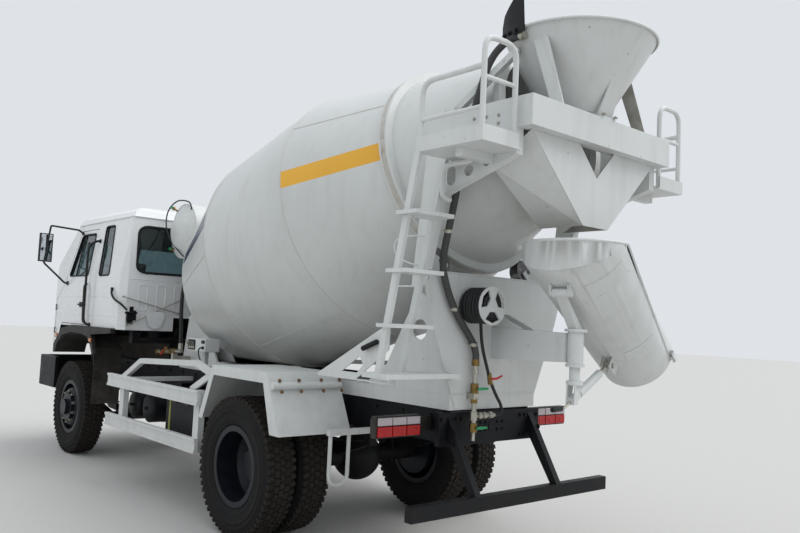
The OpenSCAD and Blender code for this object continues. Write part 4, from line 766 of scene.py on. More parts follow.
@dataclass
class Wheels:
    """Tyres with tread blocks, and the nuts of the wheels."""

    # half of a tyre's section: place across it and radius
    section: Outline = ((-87, 262), (-90, 296), (-103, 303), (-106, 308), (-105, 313), (-113, 330),
                        (-117, 338), (-116, 342), (-120, 365), (-121, 396), (-124, 399), (-124, 404),
                        (-121, 407), (-119, 430), (-121, 433), (-120, 438), (-116, 441), (-113, 458),
                        (-103, 478), (-98, 492), (-60, 497), (0, 498))
    pitches: int = 58
    # columns of blocks: two edges across the tyre, shift and length in pitches, foot and top radius, skew
    columns: tuple[tuple[float, ...], ...] = (
        (-108, -68, 0.0, 0.6, 470, 500.5, 12), (-60, -23, 0.45, 0.74, 488, 504.5, -16),
        (-17, 17, 0.1, 0.74, 488, 504.5, 16), (23, 60, 0.55, 0.74, 488, 504.5, -16),
        (68, 108, 0.15, 0.6, 470, 500.5, 12))
    nut_count: int = 10
    nut_r: float = 16

    def tyre(self, shape: Shape, x: float, y: float) -> None:
        """Turn a tyre's carcass.

        Args:
            shape: Mesh that takes it.
            x: Place along the truck, in mm.
            y: Place across the truck, in mm.
        """
        whole = list(self.section) + [(-across, r) for across, r in self.section[-2::-1]]
        shape.lathe(whole, spot(x, y, AXLE_Z), LEFT, 96)

    def tread(self, shape: Shape, x: float, y: float) -> None:
        """Lay one pitch of skewed tread blocks and repeat it round the tyre, so that the ribs zigzag.

        Args:
            shape: Mesh that takes the blocks.
            x: Place along the truck, in mm.
            y: Place across the truck, in mm.
        """
        step = math.tau / self.pitches
        centre = spot(x, y, AXLE_Z)
        laid = []
        for low, high, shift, share, foot, top, skew in self.columns:
            size = Vector((top - foot, high - low, share * step * top)) / 1000
            place = (Matrix.Translation(centre) @ Matrix.Rotation(-shift * step, 4, "Y")
                     @ Matrix.Translation(Vector((foot + top, low + high, 0)) / 2000)
                     @ Matrix.Rotation(math.radians(skew), 4, "X") @ Matrix.Diagonal((*size, 1)))
            laid += bmesh.ops.create_cube(shape.bm, size=1.0, matrix=place)["verts"]
        edges, faces = {e for v in laid for e in v.link_edges}, {f for v in laid for f in v.link_faces}
        bmesh.ops.spin(shape.bm, geom=[*laid, *edges, *faces], cent=centre, axis=LEFT, angle=math.tau - step,
                       steps=self.pitches - 1, use_duplicate=True)

    def nuts(self, x: float, y: float, out: int, ring: float) -> Shape:
        """Set wheel nuts on a circle.

        Args:
            x: Place along the truck.
            y: Face that the nuts stand on.
            out: Which way they point, 1 for the left.
            ring: Radius of the circle.

        Returns:
            The nuts with the ends of their studs.
        """
        shape = Shape()
        for i in range(self.nut_count):
            angle = math.tau * (i + 0.5) / self.nut_count
            at = spot(x + ring * math.cos(angle), y, AXLE_Z + ring * math.sin(angle))
            shape.rod(at, at + LEFT * (out * 0.024), self.nut_r, 6)
            shape.rod(at, at + LEFT * (out * 0.036), self.nut_r * 0.5, 10)
        return shape

    def build(self) -> None:
        """Build the four wheels' pieces."""
        inner = OUTER_TYRE_Y - TWIN_GAP
        # each row: axle, body, node, place along, tyres' middles, the nuts' face, circle and finish
        axles = (("front", "front_wheel", "front_tyre", WHEELBASE, (FRONT_TYRE_Y,),
                  FRONT_TYRE_Y + 95, 168, ZINC),
                 ("rear", "rear_wheels", "rear_tyres", 0.0, (OUTER_TYRE_Y, inner),
                  (OUTER_TYRE_Y + inner) / 2 + 12, 150, CAST_IRON))
        for side, out in (("left", 1), ("right", -1)):
            for axle, body, node, x, rows, face, ring, finish in axles:
                carcass, tread = Shape(), Shape()
                for y in rows:
                    self.tyre(carcass, x, out * y)
                    self.tread(tread, x, out * y)
                carcass.piece(f"{axle}_carcass_{side}", TYRE_RUBBER, f"{body}_{side}", crease=50,
                              replaces=(f"{node}_{side}",))
                tread.piece(f"{axle}_tread_{side}", TREAD_RUBBER, f"{body}_{side}", crease=20)
                self.nuts(x, out * face, out, ring).piece(f"{axle}_nuts_{side}", finish, f"{body}_{side}")


@dataclass
class CabDress:
    """The cab's rubber seals, pressed lines, handles, lamps, wipers and the gear on its rear wall."""

    rear: float = 2640
    rear_window: Outline = ((-860, 2030), (-800, 1990), (800, 1990), (860, 2030), (860, 2420), (800, 2465),
                            (-800, 2465), (-860, 2420))
    quarter: Outline = ((2997, 1957), (3283, 1952), (3335, 2490), (3096, 2490))
    door_window: Outline = ((3600, 1960), (3600, 2430), (4010, 2430), (4190, 1960))
    screen: Outline = ((-830, 1940), (830, 1940), (769, 2428), (-769, 2428))
    rib_z: tuple[float, float] = (1604, 1868)
    rib_pitch: float = 194
    rib_half: float = 47
    lines_z: tuple[float, float] = (1729, 1533)
    arch_lip: Outline = ((3560, 1350), (3560, 1322), (3400, 1300), (3290, 1215), (3225, 1125), (3180, 1135),
                         (3235, 1240), (3300, 1350))
    rear_plate: Outline = ((742, 1566), (704, 1592), (570, 1596), (534, 1572), (572, 1446), (606, 1424),
                           (664, 1423), (702, 1448))
    lamp_y: tuple[float, float] = (690, 812)
    lamp_z: float = 865
    lamp_x: float = 4970

    @staticmethod
    def side(x: float, z: float, out: float = 0.0) -> Vector:
        """Find a point on the cab's left side, which leans in above the waist.

        Args:
            x: Place along the truck, in mm.
            z: Height.
            out: How far the point stands out from the sheet.

        Returns:
            The point in metres.
        """
        return spot(x, 1000 - 80 * max(0.0, z - 1950) / 610 + out, z)

    @staticmethod
    def front_x(z: float) -> float:
        """Find the windscreen's leaning plane.

        Args:
            z: Height in mm.

        Returns:
            How far forward the plane is there, in mm.
        """
        return 4820 - 620 * (z - 1900) / 630

    def build(self) -> None:
        """Dress the shell, both doors, the rear wall and the front."""
        self.shell()
        for side, name in ((1, "left"), (-1, "right")):
            self.door(side, name)
        self.rear_gear()
        self.front()

    def rib(self, shape: Shape, y: float) -> None:
        """Press one rib's outline into the rear wall.

        Args:
            shape: Mesh that takes it.
            y: Middle of the rib across the truck.
        """
        low, high = self.rib_z
        corners = ((-self.rib_half, low), (self.rib_half, low), (self.rib_half, high), (-self.rib_half, high))
        shape.tube(rounded([spot(self.rear, y + a, z) for a, z in corners], 26), 6, 8, True)

    def shell(self) -> None:
        """Seal the fixed windows and press the lines, the ribs and the gutter into the sheet."""
        seals = Shape()
        seals.tube(rounded([self.side(x, z) for x, z in self.quarter], 40), 9, 10, True)
        seals.mirror()
        seals.tube(rounded([spot(self.rear - 1, y, z) for y, z in self.rear_window], 45), 13, 12, True)
        seals.tube(rounded([spot(self.front_x(z) + 2, y, z) for y, z in self.screen], 90), 13, 12, True)
        seals.piece("window_seals", SEAL_RUBBER, "cab")
        pressed = Shape()
        for z in self.lines_z:
            pressed.rod(self.side(2716, z, -1), self.side(3535, z, -1), 4, 8)
        pressed.tube([self.side(4175, 2550, 4), self.side(2652, 2560, 4), spot(self.rear - 4, 905, 2560),
                      spot(self.rear - 4, 0, 2560)], 8, 8)
        pressed.tube(spots((self.rear, 925, 1918), (self.rear, 0, 1918)), 4, 8)
        for k in range(1, 5):
            self.rib(pressed, k * self.rib_pitch)
        pressed.mirror()
        self.rib(pressed, 0)
        for x, z in ((4880, 1240), (4880, 1655), (self.front_x(1900), 1900)):
            pressed.rod(spot(x, -730, z), spot(x, 730, z), 4, 8)
        pressed.piece("cab_pressings", CAB_LACQUER, "cab")
        plugs = Shape()
        for y in (744, 656, -656, -744):
            plugs.rod(spot(self.rear + 2, y, 1981), spot(self.rear - 3, y, 1981), 9, 12)
        plugs.piece("cab_rear_plugs", SEAL_RUBBER, "cab")
        lip = Shape()
        lip.plate([spot(x, 1001, z) for x, z in self.arch_lip], Vector((0, 0.042, 0)))
        lip.block((3246, 3254), (705, 1000), (600, 1010))
        lip.mirror()
        lip.piece("arch_lips", DARK_PLASTIC, "cab", 4)
        markers = Shape()
        markers.block((3236, 3300), (1040, 1058), (1250, 1286))
        markers.mirror()
        markers.piece("arch_markers", AMBER_LENS, "cab", 6)
        handles = Shape()
        bar = [self.side(3440, 2335, -4), self.side(3448, 2330, 40), spot(3495, 1030, 2290),
               spot(3513, 1048, 2200), spot(3515, 1050, 1900), spot(3515, 1050, 1560), spot(3500, 1048, 1470),
               spot(3472, 1030, 1432), spot(3455, 996, 1425)]
        handles.tube(smooth(bar, 4), 13, 12)
        handles.rod(self.side(3440, 2335), self.side(3440, 2335, 8), 24, 16)
        handles.rod(spot(3455, 1000, 1425), spot(3455, 1008, 1425), 24, 16)
        handles.mirror()
        handles.piece("cab_grab_handles", DARK_PLASTIC, "cab")

    def door(self, side: int, name: str) -> None:
        """Dress one door: window seal and divider, pull bar, handle, pressed lines, marker and mirror glass.

        Args:
            side: 1 for the left door, -1 for the right.
            name: Side's name, as in the CAD bodies.
        """
        rubber, black, white, amber, mirror = (Shape() for _ in range(5))
        rubber.tube(rounded([self.side(x, z) for x, z in self.door_window], 45), 9, 10, True)
        rubber.rod(self.side(3985, 1965, -3), self.side(3935, 2426, -3), 8, 10)
        rubber.piece_on(side, f"door_seal_{name}", SEAL_RUBBER, f"door_{name}")
        black.tube(smooth(spots((3612, 998, 1868), (3610, 1030, 1845), (3600, 1034, 1700), (3592, 1030, 1470),
                                (3592, 998, 1442)), 5), 9, 10)
        black.block((3640, 3800), (1000, 1007), (1612, 1668))
        black.tube(smooth(spots((3655, 1004, 1640), (3665, 1028, 1640), (3720, 1033, 1640),
                                (3775, 1028, 1640), (3785, 1004, 1640)), 4), 9, 10)
        black.piece_on(side, f"door_handles_{name}", DARK_PLASTIC, f"door_{name}", 2)
        for z in self.lines_z:
            white.rod(self.side(3552, z, -1), self.side(4532, z, -1), 4, 8)
        white.piece_on(side, f"door_pressings_{name}", CAB_LACQUER, f"door_{name}")
        amber.block((4452, 4520), (999, 1014), (1264, 1300))
        amber.piece_on(side, f"door_marker_{name}", AMBER_LENS, f"door_{name}", 5)
        mirror.block((4436, 4441), (1148, 1268), (2132, 2438))
        mirror.piece_on(side, f"mirror_glass_{name}", MIRROR_GLASS, f"door_{name}", 2)

    def rear_gear(self) -> None:
        """Hang the stay rods, the plate, the latch with its spring and the lever on the rear wall."""
        wall = self.rear
        rods = Shape()
        for a, b in (((985, 1735), (385, 1588)), ((931, 1454), (364, 1730))):
            start, end = spot(wall - 16, a[0], a[1]), spot(wall - (16 if a[1] > 1600 else 28), b[0], b[1])
            rods.rod(start, end, 5, 10)
            for p in (start, end):
                rods.rod(p - Vector((0.008, 0, 0)), Vector((spot(wall + 1, 0, 0).x, p.y, p.z)), 9, 10)
        rods.piece("cab_stay_rods", ZINC, "cab")
        plate = Shape()
        plate.plate([spot(wall - 30, y, z) for y, z in rounded_flat(self.rear_plate, 14)],
                    Vector((0.006, 0, 0)))
        for y, z in ((670, 1560), (600, 1560), (636, 1480)):
            plate.rod(spot(wall - 26, y, z), spot(wall + 1, y, z), 14, 16)
        plate.piece("cab_rear_plate", CAB_LACQUER, "cab", 1.5)
        latch = Shape()
        latch.block((wall - 12, wall + 1), (868, 905), (1462, 1638))
        latch.block((wall - 90, wall - 10), (872, 884), (1540, 1600))
        latch.block((wall - 84, wall - 56), (866, 960), (1500, 1560))
        latch.rod(spot(wall - 60, 850, 1575), spot(wall - 60, 972, 1575), 12, 16)
        latch.rod(spot(wall - 45, 930, 1470), spot(wall - 45, 930, 1580), 9, 12)
        turns = [spot(wall - 45 + 20 * math.cos(i * 0.7), 930 + 20 * math.sin(i * 0.7), 1476 + i * 1.6)
                 for i in range(56)]
        latch.tube(turns, 4, 8)
        latch.piece("cab_latch", CHASSIS_PAINT, "cab", 2)
        lever = Shape()
        bar = spots((2868, 1008, 1811), (2850, 1020, 1775), (2800, 1024, 1732), (2720, 1022, 1695),
                    (wall - 20, 1000, 1655), (wall - 58, 955, 1600))
        lever.tube(smooth(bar, 5), 11, 12)
        lever.rod(spot(2868, 996, 1811), spot(2868, 1020, 1811), 16, 16)
        lever.piece("cab_latch_lever", DARK_PLASTIC, "cab")

    def front(self) -> None:
        """Fit the wipers, the panel behind the grille, the lamps of the bumper, the corners and the roof."""
        wipers = Shape()
        # each row: the arm's foot, and how far its blade reaches, across the truck
        for y, reach in ((-420, 560), (300, 420)):
            foot, tip = spot(self.front_x(1918) + 18, y, 1918), spot(self.front_x(1985) + 22, y + 330, 1985)
            wipers.rod(foot - Vector((0.03, 0, 0)), foot + Vector((0.012, 0, 0)), 16, 16)
            wipers.rod(foot, tip, 7, 8, 5)
            wipers.rod(spot(self.front_x(1970) + 16, y + 40, 1970),
                       spot(self.front_x(1992) + 16, y + reach, 1992), 7, 8)
        wipers.piece("wipers", DARK_PLASTIC, "cab")
        panel = Shape()
        panel.block((4878, 4884), (-686, 686), (1266, 1612))
        panel.block((4878, 4886), (-560, 560), (1690, 1720))
        panel.piece("grille_panel", DARK_PLASTIC, "cab", 1)
        along, away = Vector((0.28, -0.25, 0)), Vector((0.667, 0.747, 0))
        corner = spot(4600, 1000, 0)
        amber = Shape()
        amber.plate([corner + along * t + Vector((0, 0, z))
                     for t, z in ((0.22, 1.62), (0.62, 1.62), (0.62, 1.69), (0.22, 1.69))], away * 0.014)
        amber.block((4062, 4112), (470, 530), (2618, 2664))
        amber.mirror()
        amber.block((4062, 4112), (-30, 30), (2618, 2664))
        amber.piece("cab_amber_lamps", AMBER_LENS, "cab", 5)
        bright, turn, rims = Shape(), Shape(), Shape()
        x, z = self.lamp_x, self.lamp_z
        for y in self.lamp_y:
            bright.rod(spot(x, y, z), spot(x + 18, y, z), 56, 40, 50)
            rims.lathe(((0, 57), (14, 57), (16, 60), (14, 64), (0, 64)), spot(x, y, z), Vector((1, 0, 0)), 40)
        bright.mirror()
        bright.piece("head_lamps", HEAD_LENS, "chassis", 3)
        turn.block((x, x + 16), (872, 914), (792, 938))
        turn.mirror()
        turn.piece("bumper_turn_lamps", AMBER_LENS, "chassis", 4)
        rims.block((x - 1, x + 5), (606, 914), (786, 944))
        rims.mirror()
        for y in (-330, 330):
            rims.rod(spot(4998, y, 760), spot(4960, y, 760), 26, 20)
        rims.piece("head_lamp_rims", DARK_PLASTIC, "chassis")


@dataclass
class Seats:
    """Two cab seats: cloth pads blown up by simulation, on moulded bases."""

    across: tuple[float, float] = (505, 915)
    voxel: float = 0.009            # size of the cloth's cells, in metres, as are the next four
    swell: float = 0.014            # most that a point may move outwards
    edge: float = 0.028             # rounding of a pad's edges before it is blown up
    channel_depth: float = 0.009
    channel_half: float = 0.011
    pressure: float = 4.0
    frames: int = 20

    def build(self) -> None:
        """Build the bases, then each pad on the left, and its twin on the right."""
        base = Shape()
        base.block((3300, 3760), (530, 890), (1441, 1600))
        base.block((3150, 3270), (560, 860), (1600, 1700))
        base.rod(spot(3205, 640, 2120), spot(3205, 640, 2200), 7)
        base.rod(spot(3205, 780, 2120), spot(3205, 780, 2200), 7)
        base.mirror()
        base.piece("seat_bases", DARK_PLASTIC, "cab", 12)
        low, high = self.across
        pads = {"cushion": ((3292, 3768), (low, high), (1612, 1762), (3420, 3600)),
                "back": ((3146, 3262), (low + 8, high - 8), (1655, 2140), (1820, 1990)),
                "head_rest": ((3152, 3256), (low + 85, high - 85), (2180, 2316), ())}
        for name, (x, y, z, seams) in pads.items():
            mesh = self.pad(name, x, y, z, seams)
            for side, word in ((1, "left"), (-1, "right")):
                twin = mesh if side > 0 else mesh.copy()
                if side < 0:
                    twin.transform(Matrix.Diagonal((1, -1, 1, 1)))
                    twin.flip_normals()
                self.finish(twin, f"seat_{name}_{word}")

    def pad(self, name: str, x: Sequence[float], y: Sequence[float], z: Sequence[float],
            seams: Sequence[float]) -> bpy.types.Mesh:
        """Blow up one pad and press its seams in.

        Args:
            name: Name of the pad.
            x: Its limits along the truck.
            y: Its limits across the truck.
            z: Its lower and upper limits.
            seams: Places of the sewn channels, along the truck for a cushion and up for a back.

        Returns:
            The pad's mesh.
        """
        core = Shape()
        core.block((x[0] + 10, x[1] - 10), (y[0] + 10, y[1] - 10), (z[0] + 8, z[1] - 12))
        bmesh.ops.bevel(core.bm, geom=core.bm.edges, offset=self.edge, segments=3, profile=0.5,
                        affect="EDGES", material=-1)
        bmesh.ops.recalc_face_normals(core.bm, faces=core.bm.faces)
        mesh = bpy.data.meshes.new(name)
        core.bm.to_mesh(mesh)
        core.bm.free()
        body = bpy.data.objects.new(name, mesh)
        bpy.context.scene.collection.objects.link(body)
        remesh = body.modifiers.new("cells", "REMESH")
        remesh.mode, remesh.voxel_size = "VOXEL", self.voxel
        body.data = self.applied(body)
        body.modifiers.clear()
        before = [v.co.copy() for v in body.data.vertices]
        self.blow(body)
        axis = 0 if name == "cushion" else 2
        limits = (spot(x[0], y[0], z[0]), spot(x[1], y[1], z[1]))
        for v, old in zip(body.data.vertices, before):
            move = v.co - old
            v.co = old + move * min(1.0, self.swell / max(move.length, 1e-9))
            for seam in seams:
                gap = abs(v.co[axis] - (spot(seam, 0, 0).x if axis == 0 else seam / 1000))
                v.co -= v.normal * self.channel_depth * math.exp(-(gap / self.channel_half) ** 2)
            v.co = Vector(min(max(c, a), b) for c, a, b in zip(v.co, *limits))
        made = body.data
        bpy.data.objects.remove(body)
        return made

    def blow(self, body: bpy.types.Object) -> None:
        """Blow an object up as an airtight cloth, and leave the result in its mesh.

        Args:
            body: The object, closed and made of even cells.
        """
        air = body.modifiers.new("air", "CLOTH")
        air.settings.use_pressure, air.settings.uniform_pressure_force = True, self.pressure
        air.settings.effector_weights.gravity = 0.0
        for frame_number in range(1, self.frames + 1):
            bpy.context.scene.frame_set(frame_number)
        blown = self.applied(body)
        body.modifiers.clear()
        body.data = blown
        bpy.context.scene.frame_set(1)

    @staticmethod
    def applied(body: bpy.types.Object) -> bpy.types.Mesh:
        """Return a mesh with the object's modifiers applied."""
        bpy.context.view_layer.update()
        return bpy.data.meshes.new_from_object(body.evaluated_get(bpy.context.evaluated_depsgraph_get()))

    @staticmethod
    def finish(mesh: bpy.types.Mesh, name: str) -> None:
        """Make a padded piece of a mesh, in seat cloth.

        Args:
            mesh: The blown-up pad.
            name: Name of the piece.
        """
        for face in mesh.polygons:
            face.use_smooth = True
        mesh.materials.clear()
        mesh.materials.append(SEAT_CLOTH.material())
        made = bpy.data.objects.new(name, mesh)
        bpy.context.scene.collection.objects.link(made)
        soft = made.modifiers.new("soft", "SUBSURF")
        soft.levels = soft.render_levels = 1
        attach(made, "cab")
        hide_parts("seats")
        LOG.info("piece %s rides on cab", name)


@dataclass
class TankDress:
    """The water tank's seams, bands, filler, two hoses, cocks with green handles, and feed valve."""

    x: float = 2285
    z: float = 2425
    r: float = 278
    half: float = 545
    band_y: float = 360
    down_hose: Route = ((2180, 470, 2185), (2150, 500, 2130), (2124, 545, 2050), (2118, 572, 1960),
                        (2116, 590, 1860), (2113, 600, 1740), (2104, 604, 1620), (2092, 604, 1500),
                        (2084, 602, 1390), (2080, 600, 1290))
    sight_hose: Route = ((2122, 560, 2632), (2126, 566, 2676), (2160, 580, 2712), (2305, 598, 2734),
                         (2440, 602, 2712), (2545, 604, 2652), (2586, 604, 2570), (2576, 604, 2485),
                         (2528, 604, 2400), (2440, 604, 2322), (2330, 602, 2256), (2220, 596, 2190),
                         (2140, 584, 2150), (2096, 570, 2152), (2086, 556, 2196), (2090, 548, 2232))

    def build(self) -> None:
        """Build the tank's pieces."""
        seams = Shape()
        for y in (-self.half, 0, self.half):
            seams.lathe(((-6, self.r - 4), (-3, self.r + 2), (3, self.r + 2), (6, self.r - 4)),
                        spot(self.x, y, self.z), LEFT, 96)
        for y in (-self.band_y, self.band_y):
            seams.lathe(((-22, self.r - 3), (-22, self.r + 3), (22, self.r + 3), (22, self.r - 3)),
                        spot(self.x, y, self.z), LEFT, 96)
        top = self.z + self.r
        seams.rod(spot(self.x, 150, top - 8), spot(self.x, 150, top + 26), 58, 32)
        seams.rod(spot(self.x, 150, top + 26), spot(self.x, 150, top + 38), 70, 32)
        seams.piece("tank_seams", FRAME_ENAMEL, "chassis", 1)
        hose("tank_sight_hose", HOSE_RUBBER, spots(*self.sight_hose), 7)
        brass, green = Shape(), Shape()
        for z, x in ((2660, 2424), (2236, 2404)):
            brass.rod(spot(x - 18, 540, z + (40 if z < self.z else -40)), spot(x, 604, z), 9, 12)
            brass.rod(spot(x - 14, 604, z + 10), spot(x + 14, 604, z - 10), 12, 12)
            green.block((x - 10, x + 46), (614, 622), (z - 4, z + 20))
            green.rod(spot(x, 598, z + 8), spot(x, 618, z + 8), 8, 12)
        brass.piece("tank_cocks", BRASS, "chassis")
        green.piece("tank_cock_handles", GREEN_HANDLE, "chassis", 3)
        hose("tank_down_hose", HOSE_RUBBER, spots(*self.down_hose), 19)
        valve, lever = Shape(), Shape()
        for x, r in ((2190, 25), (2260, 30), (2300, 24), (2400, 28), (2470, 22), (2585, 27)):
            z = 1225 - 35 * (x - 2050) / 550
            valve.rod(spot(x - 18, 600, z + 1), spot(x + 18, 600, z - 1), r, 8)
        valve.rod(spot(2400, 600, 1205), spot(2400, 600, 1250), 14, 12)
        valve.piece("feed_valve", BRASS, "chassis", 2)
        lever.plate([spot(2396, y, z) for y, z in ((596, 1246), (606, 1246), (664, 1172), (650, 1166))],
                    Vector((0.01, 0, 0)))
        lever.piece("feed_valve_lever", RED_HANDLE, "chassis", 2)


@dataclass
class SideDress:
    """Small gear along the frame: control box, tanks, strap, spring clamps and fender bolts."""

    air_x: tuple[float, float] = (1800, 2120)
    air_z: float = 720
    air_r: float = 130
    cable: Route = ((1262, 790, 1298), (1260, 822, 1290), (1246, 832, 1250), (1226, 826, 1200),
                    (1206, 802, 1150), (1190, 740, 1112), (1180, 650, 1096), (1174, 550, 1092),
                    (1170, 434, 1092))

    def build(self) -> None:
        """Build the pieces along both sides of the frame."""
        black = Shape()
        black.block((1242, 1304), (778, 784), (1334, 1364))
        black.block((1416, 1560), (778, 782), (1272, 1364))
        black.rod(spot(1262, 776, 1298), spot(1262, 796, 1298), 13, 16)
        black.piece("control_box_face", DARK_PLASTIC, "chassis", 2)
        levers = Shape()
        for x in (1440, 1475, 1510, 1545):
            levers.rod(spot(x, 780, 1300), spot(x - 6, 806, 1345), 5, 8)
            levers.rod(spot(x, 778, 1296), spot(x, 790, 1296), 12, 12)
        levers.piece("control_box_levers", ZINC, "chassis")
        hose("control_cable", HOSE_RUBBER, spots(*self.cable), 6)
        tanks = Shape()
        r = self.air_r
        for x in self.air_x:
            for y, out in ((1000, 1), (470, -1)):
                tanks.lathe(((-4, 0), (-4, r - 1), (4, r - 4), (16, r - 20), (26, r - 60), (30, 0)),
                            spot(x, y, self.air_z), LEFT * out, 40)
            for y in (600, 860):
                tanks.lathe(((-15, r - 2), (-15, r + 3), (15, r + 3), (15, r - 2)),
                            spot(x, y, self.air_z), LEFT, 40)
            tanks.rod(spot(x, 1022, self.air_z), spot(x, 1050, self.air_z), 14, 8)
        tanks.piece("air_tank_ends", CHASSIS_PAINT, "chassis")
        strap = Shape()
        strap.block((1360, 1392), (997, 1003), (562, 902))
        strap.block((1360, 1392), (560, 1003), (897, 903))
        strap.piece("battery_strap", STRAP_WEBBING, "chassis", 1)
        lid = Shape()
        lid.block((942, 1458), (462, 1008), (880, 912))
        lid.block((1010, 1120), (1006, 1014), (820, 890))
        lid.block((1240, 1330), (1006, 1014), (820, 890))
        lid.piece("battery_lid", DARK_PLASTIC, "chassis", 8)
        fuel = Shape()
        fuel.rod(spot(1300, -900, 915), spot(1300, -900, 950), 45, 32)
        fuel.rod(spot(1300, -900, 950), spot(1300, -900, 972), 56, 32, 50)
        hoop = ((484, 484), (1006, 484), (1006, 916), (484, 916))
        for x in (1152, 2248):
            fuel.tube(rounded([spot(x, -y, z) for y, z in hoop], 30), 7, 8, True)
        fuel.piece("fuel_tank_fittings", CHASSIS_PAINT, "chassis")
        bolts = Shape()
        for x, low, high in ((WHEELBASE, 325, 530), (0.0, 425, 700)):
            for dx in (-50, 50):
                for y in (346, 434):
                    bolts.rod(spot(x + dx, y, low), spot(x + dx, y, high), 9, 10)
                bolts.rod(spot(x + dx, 346, high), spot(x + dx, 434, high), 9, 10)
        bolts.mirror()
        bolts.piece("spring_clamps", CHASSIS_PAINT, "chassis")
        heads = Shape()
        out = Vector((-0.9, 0, 0.43)).normalized()
        for y in (600, 760, 950, 1110):
            for z in (1092, 1165):
                heads.bolts([spot(-504 + (z - 1128) * 0.48 - 16, y, z)], out, 8)
        heads.mirror()
        heads.piece("fender_bolts", BROWN_BOLT, "chassis")


@dataclass
class RearDress:
    """Lamps, pipes, hoses, reel and bolts of the truck's rear, and the gear round the hopper."""

    plate_x: float = -1480
    pipe: tuple[float, float] = (-1530, 262)
    reel: tuple[float, float] = (300, 1735)
    hopper_hose: Route = ((-1530, 262, 1372), (-1530, 264, 1420), (-1528, 288, 1480), (-1523, 336, 1545),
                          (-1520, 402, 1620), (-1520, 470, 1705), (-1520, 525, 1795), (-1522, 565, 1880),
                          (-1532, 600, 1960), (-1558, 622, 2060), (-1595, 630, 2190), (-1628, 631, 2320),
                          (-1656, 631, 2450), (-1684, 632, 2570), (-1715, 634, 2700), (-1752, 632, 2840),
                          (-1788, 622, 2980), (-1812, 604, 3100), (-1832, 580, 3210), (-1862, 546, 3300),
                          (-1906, 508, 3364), (-1958, 482, 3392), (-2000, 476, 3392))
    reel_hose: Route = ((-1560, 262, 1652), (-1562, 258, 1600), (-1562, 248, 1520), (-1562, 224, 1430),
                        (-1562, 186, 1335), (-1560, 150, 1255), (-1560, 112, 1190), (-1556, 66, 1130),
                        (-1552, 26, 1085), (-1546, 4, 1045), (-1538, 6, 1018), (-1532, 26, 1010),
                        (-1530, 62, 1010))

    def build(self) -> None:
        """Build the pieces of the rear."""
        self.lamps()
        self.pipes()
        self.hoses()
        self.bolts()
        self.chute()

    def lamps(self) -> None:
        """Set clear and red lenses, each in three fields, on the black housings."""
        clear, red, discs = Shape(), Shape(), Shape()
        for y0, y1 in ((588, 700), (706, 820), (826, 940)):
            clear.block((-1371, -1357), (y0, y1), (957, 1006))
            red.block((-1373, -1357), (y0, y1), (888, 951))
            discs.rod(spot(-1366, (y0 + y1) / 2, 918), spot(-1376, (y0 + y1) / 2, 918), 24, 24, 20)
        for shape, name, finish in ((clear, "tail_clear_lenses", CLEAR_LENS),
                                    (red, "tail_red_lenses", RED_LENS), (discs, "tail_reflectors", RED_LENS)):
            shape.mirror()
            shape.piece(name, finish, "chassis", 4)

    def pipes(self) -> None:
        """Fit the cocks, unions and levers of the filling pipe, and the pipe under the left platform."""
        x, y = self.pipe
        brass, green, zinc, red, white = (Shape() for _ in range(5))
        # each row: the fitting, its height, its radius and half its length
        for shape, z, r, half in ((brass, 1190, 27, 34), (brass, 1360, 26, 22), (zinc, 1300, 24, 16),
                                  (brass, 1110, 23, 16), (brass, 935, 26, 30), (zinc, 1010, 24, 30)):
            shape.rod(spot(x, y, z - half), spot(x, y, z + half), r, 8)
        lever = ((-12, -9), (-12, 9), (30, 11), (88, 8), (88, -6), (30, -9))
        for z in (1190, 935):
            brass.rod(spot(x - 20, y, z), spot(x - 40, y, z), 9, 12)
            green.plate([spot(x - 40, y - a, z + b) for a, b in lever], Vector((-0.007, 0, 0)))
        for side_y in (205, 160, 100):
            zinc.rod(spot(x, side_y + 16, 1010), spot(x, side_y - 16, 1010), 23, 8)
        brass.rod(spot(-1560, 158, 1292), spot(-1560, 142, 1218), 17, 8)
        bent_lever = ((158, 1246), (158, 1262), (100, 1266), (52, 1282), (48, 1270), (96, 1250))
        red.plate([spot(-1578, a, z) for a, z in bent_lever], Vector((-0.007, 0, 0)))
        white.tube(smooth(spots((-1935, 800, 2600), (-1930, 800, 2576), (-1900, 800, 2566),
                                (-1760, 800, 2566), (-1712, 800, 2545), (-1700, 800, 2500),
                                (-1699, 798, 2400), (-1698, 780, 2372), (-1697, 728, 2362)), 4), 16, 14)
        for shape, name, finish, bevel in ((brass, "pipe_cocks", BRASS, 2),
                                           (green, "pipe_cock_levers", GREEN_HANDLE, 2),
                                           (zinc, "pipe_unions", ZINC, 2),
                                           (red, "spray_valve_lever", RED_HANDLE, 2),
                                           (white, "platform_pipe", FRAME_ENAMEL, 0)):
            shape.piece(name, finish, "chassis", bevel)

    def hoses(self) -> None:
        """Run the thick hose up to the hopper and the thin one from the reel, with the reel's wound turns."""
        hose("hopper_hose", GREY_HOSE, spots(*self.hopper_hose), 23, ("water_hoses",))
        clips = Shape()
        for p, q in ((spot(-1528, 288, 1480), spot(-1478, 288, 1480)),
                     (spot(-1520, 470, 1705), spot(-1478, 470, 1705)),
                     (spot(-1595, 630, 2190), spot(-1595, 674, 2190)),
                     (spot(-1752, 632, 2840), spot(-1752, 674, 2840))):
            clips.lathe(((-11, 23.2), (-11, 27), (11, 27), (11, 23.2)), p,
                        Vector((-0.18, 0.12, 1)).normalized(), 24)
            clips.rod(p + (q - p).normalized() * 0.025, q, 6, 8)
        clips.rod(spot(-2004, 477, 3392), spot(-2034, 482, 3392), 30, 8)
        clips.rod(spot(-2030, 482, 3392), spot(-2044, 486, 3392), 22, 16)
        clips.piece("hose_clips", ZINC, "chassis")
        hose("reel_hose", HOSE_RUBBER, spots(*self.reel_hose), 11)
        y, z = self.reel
        coil = Shape()
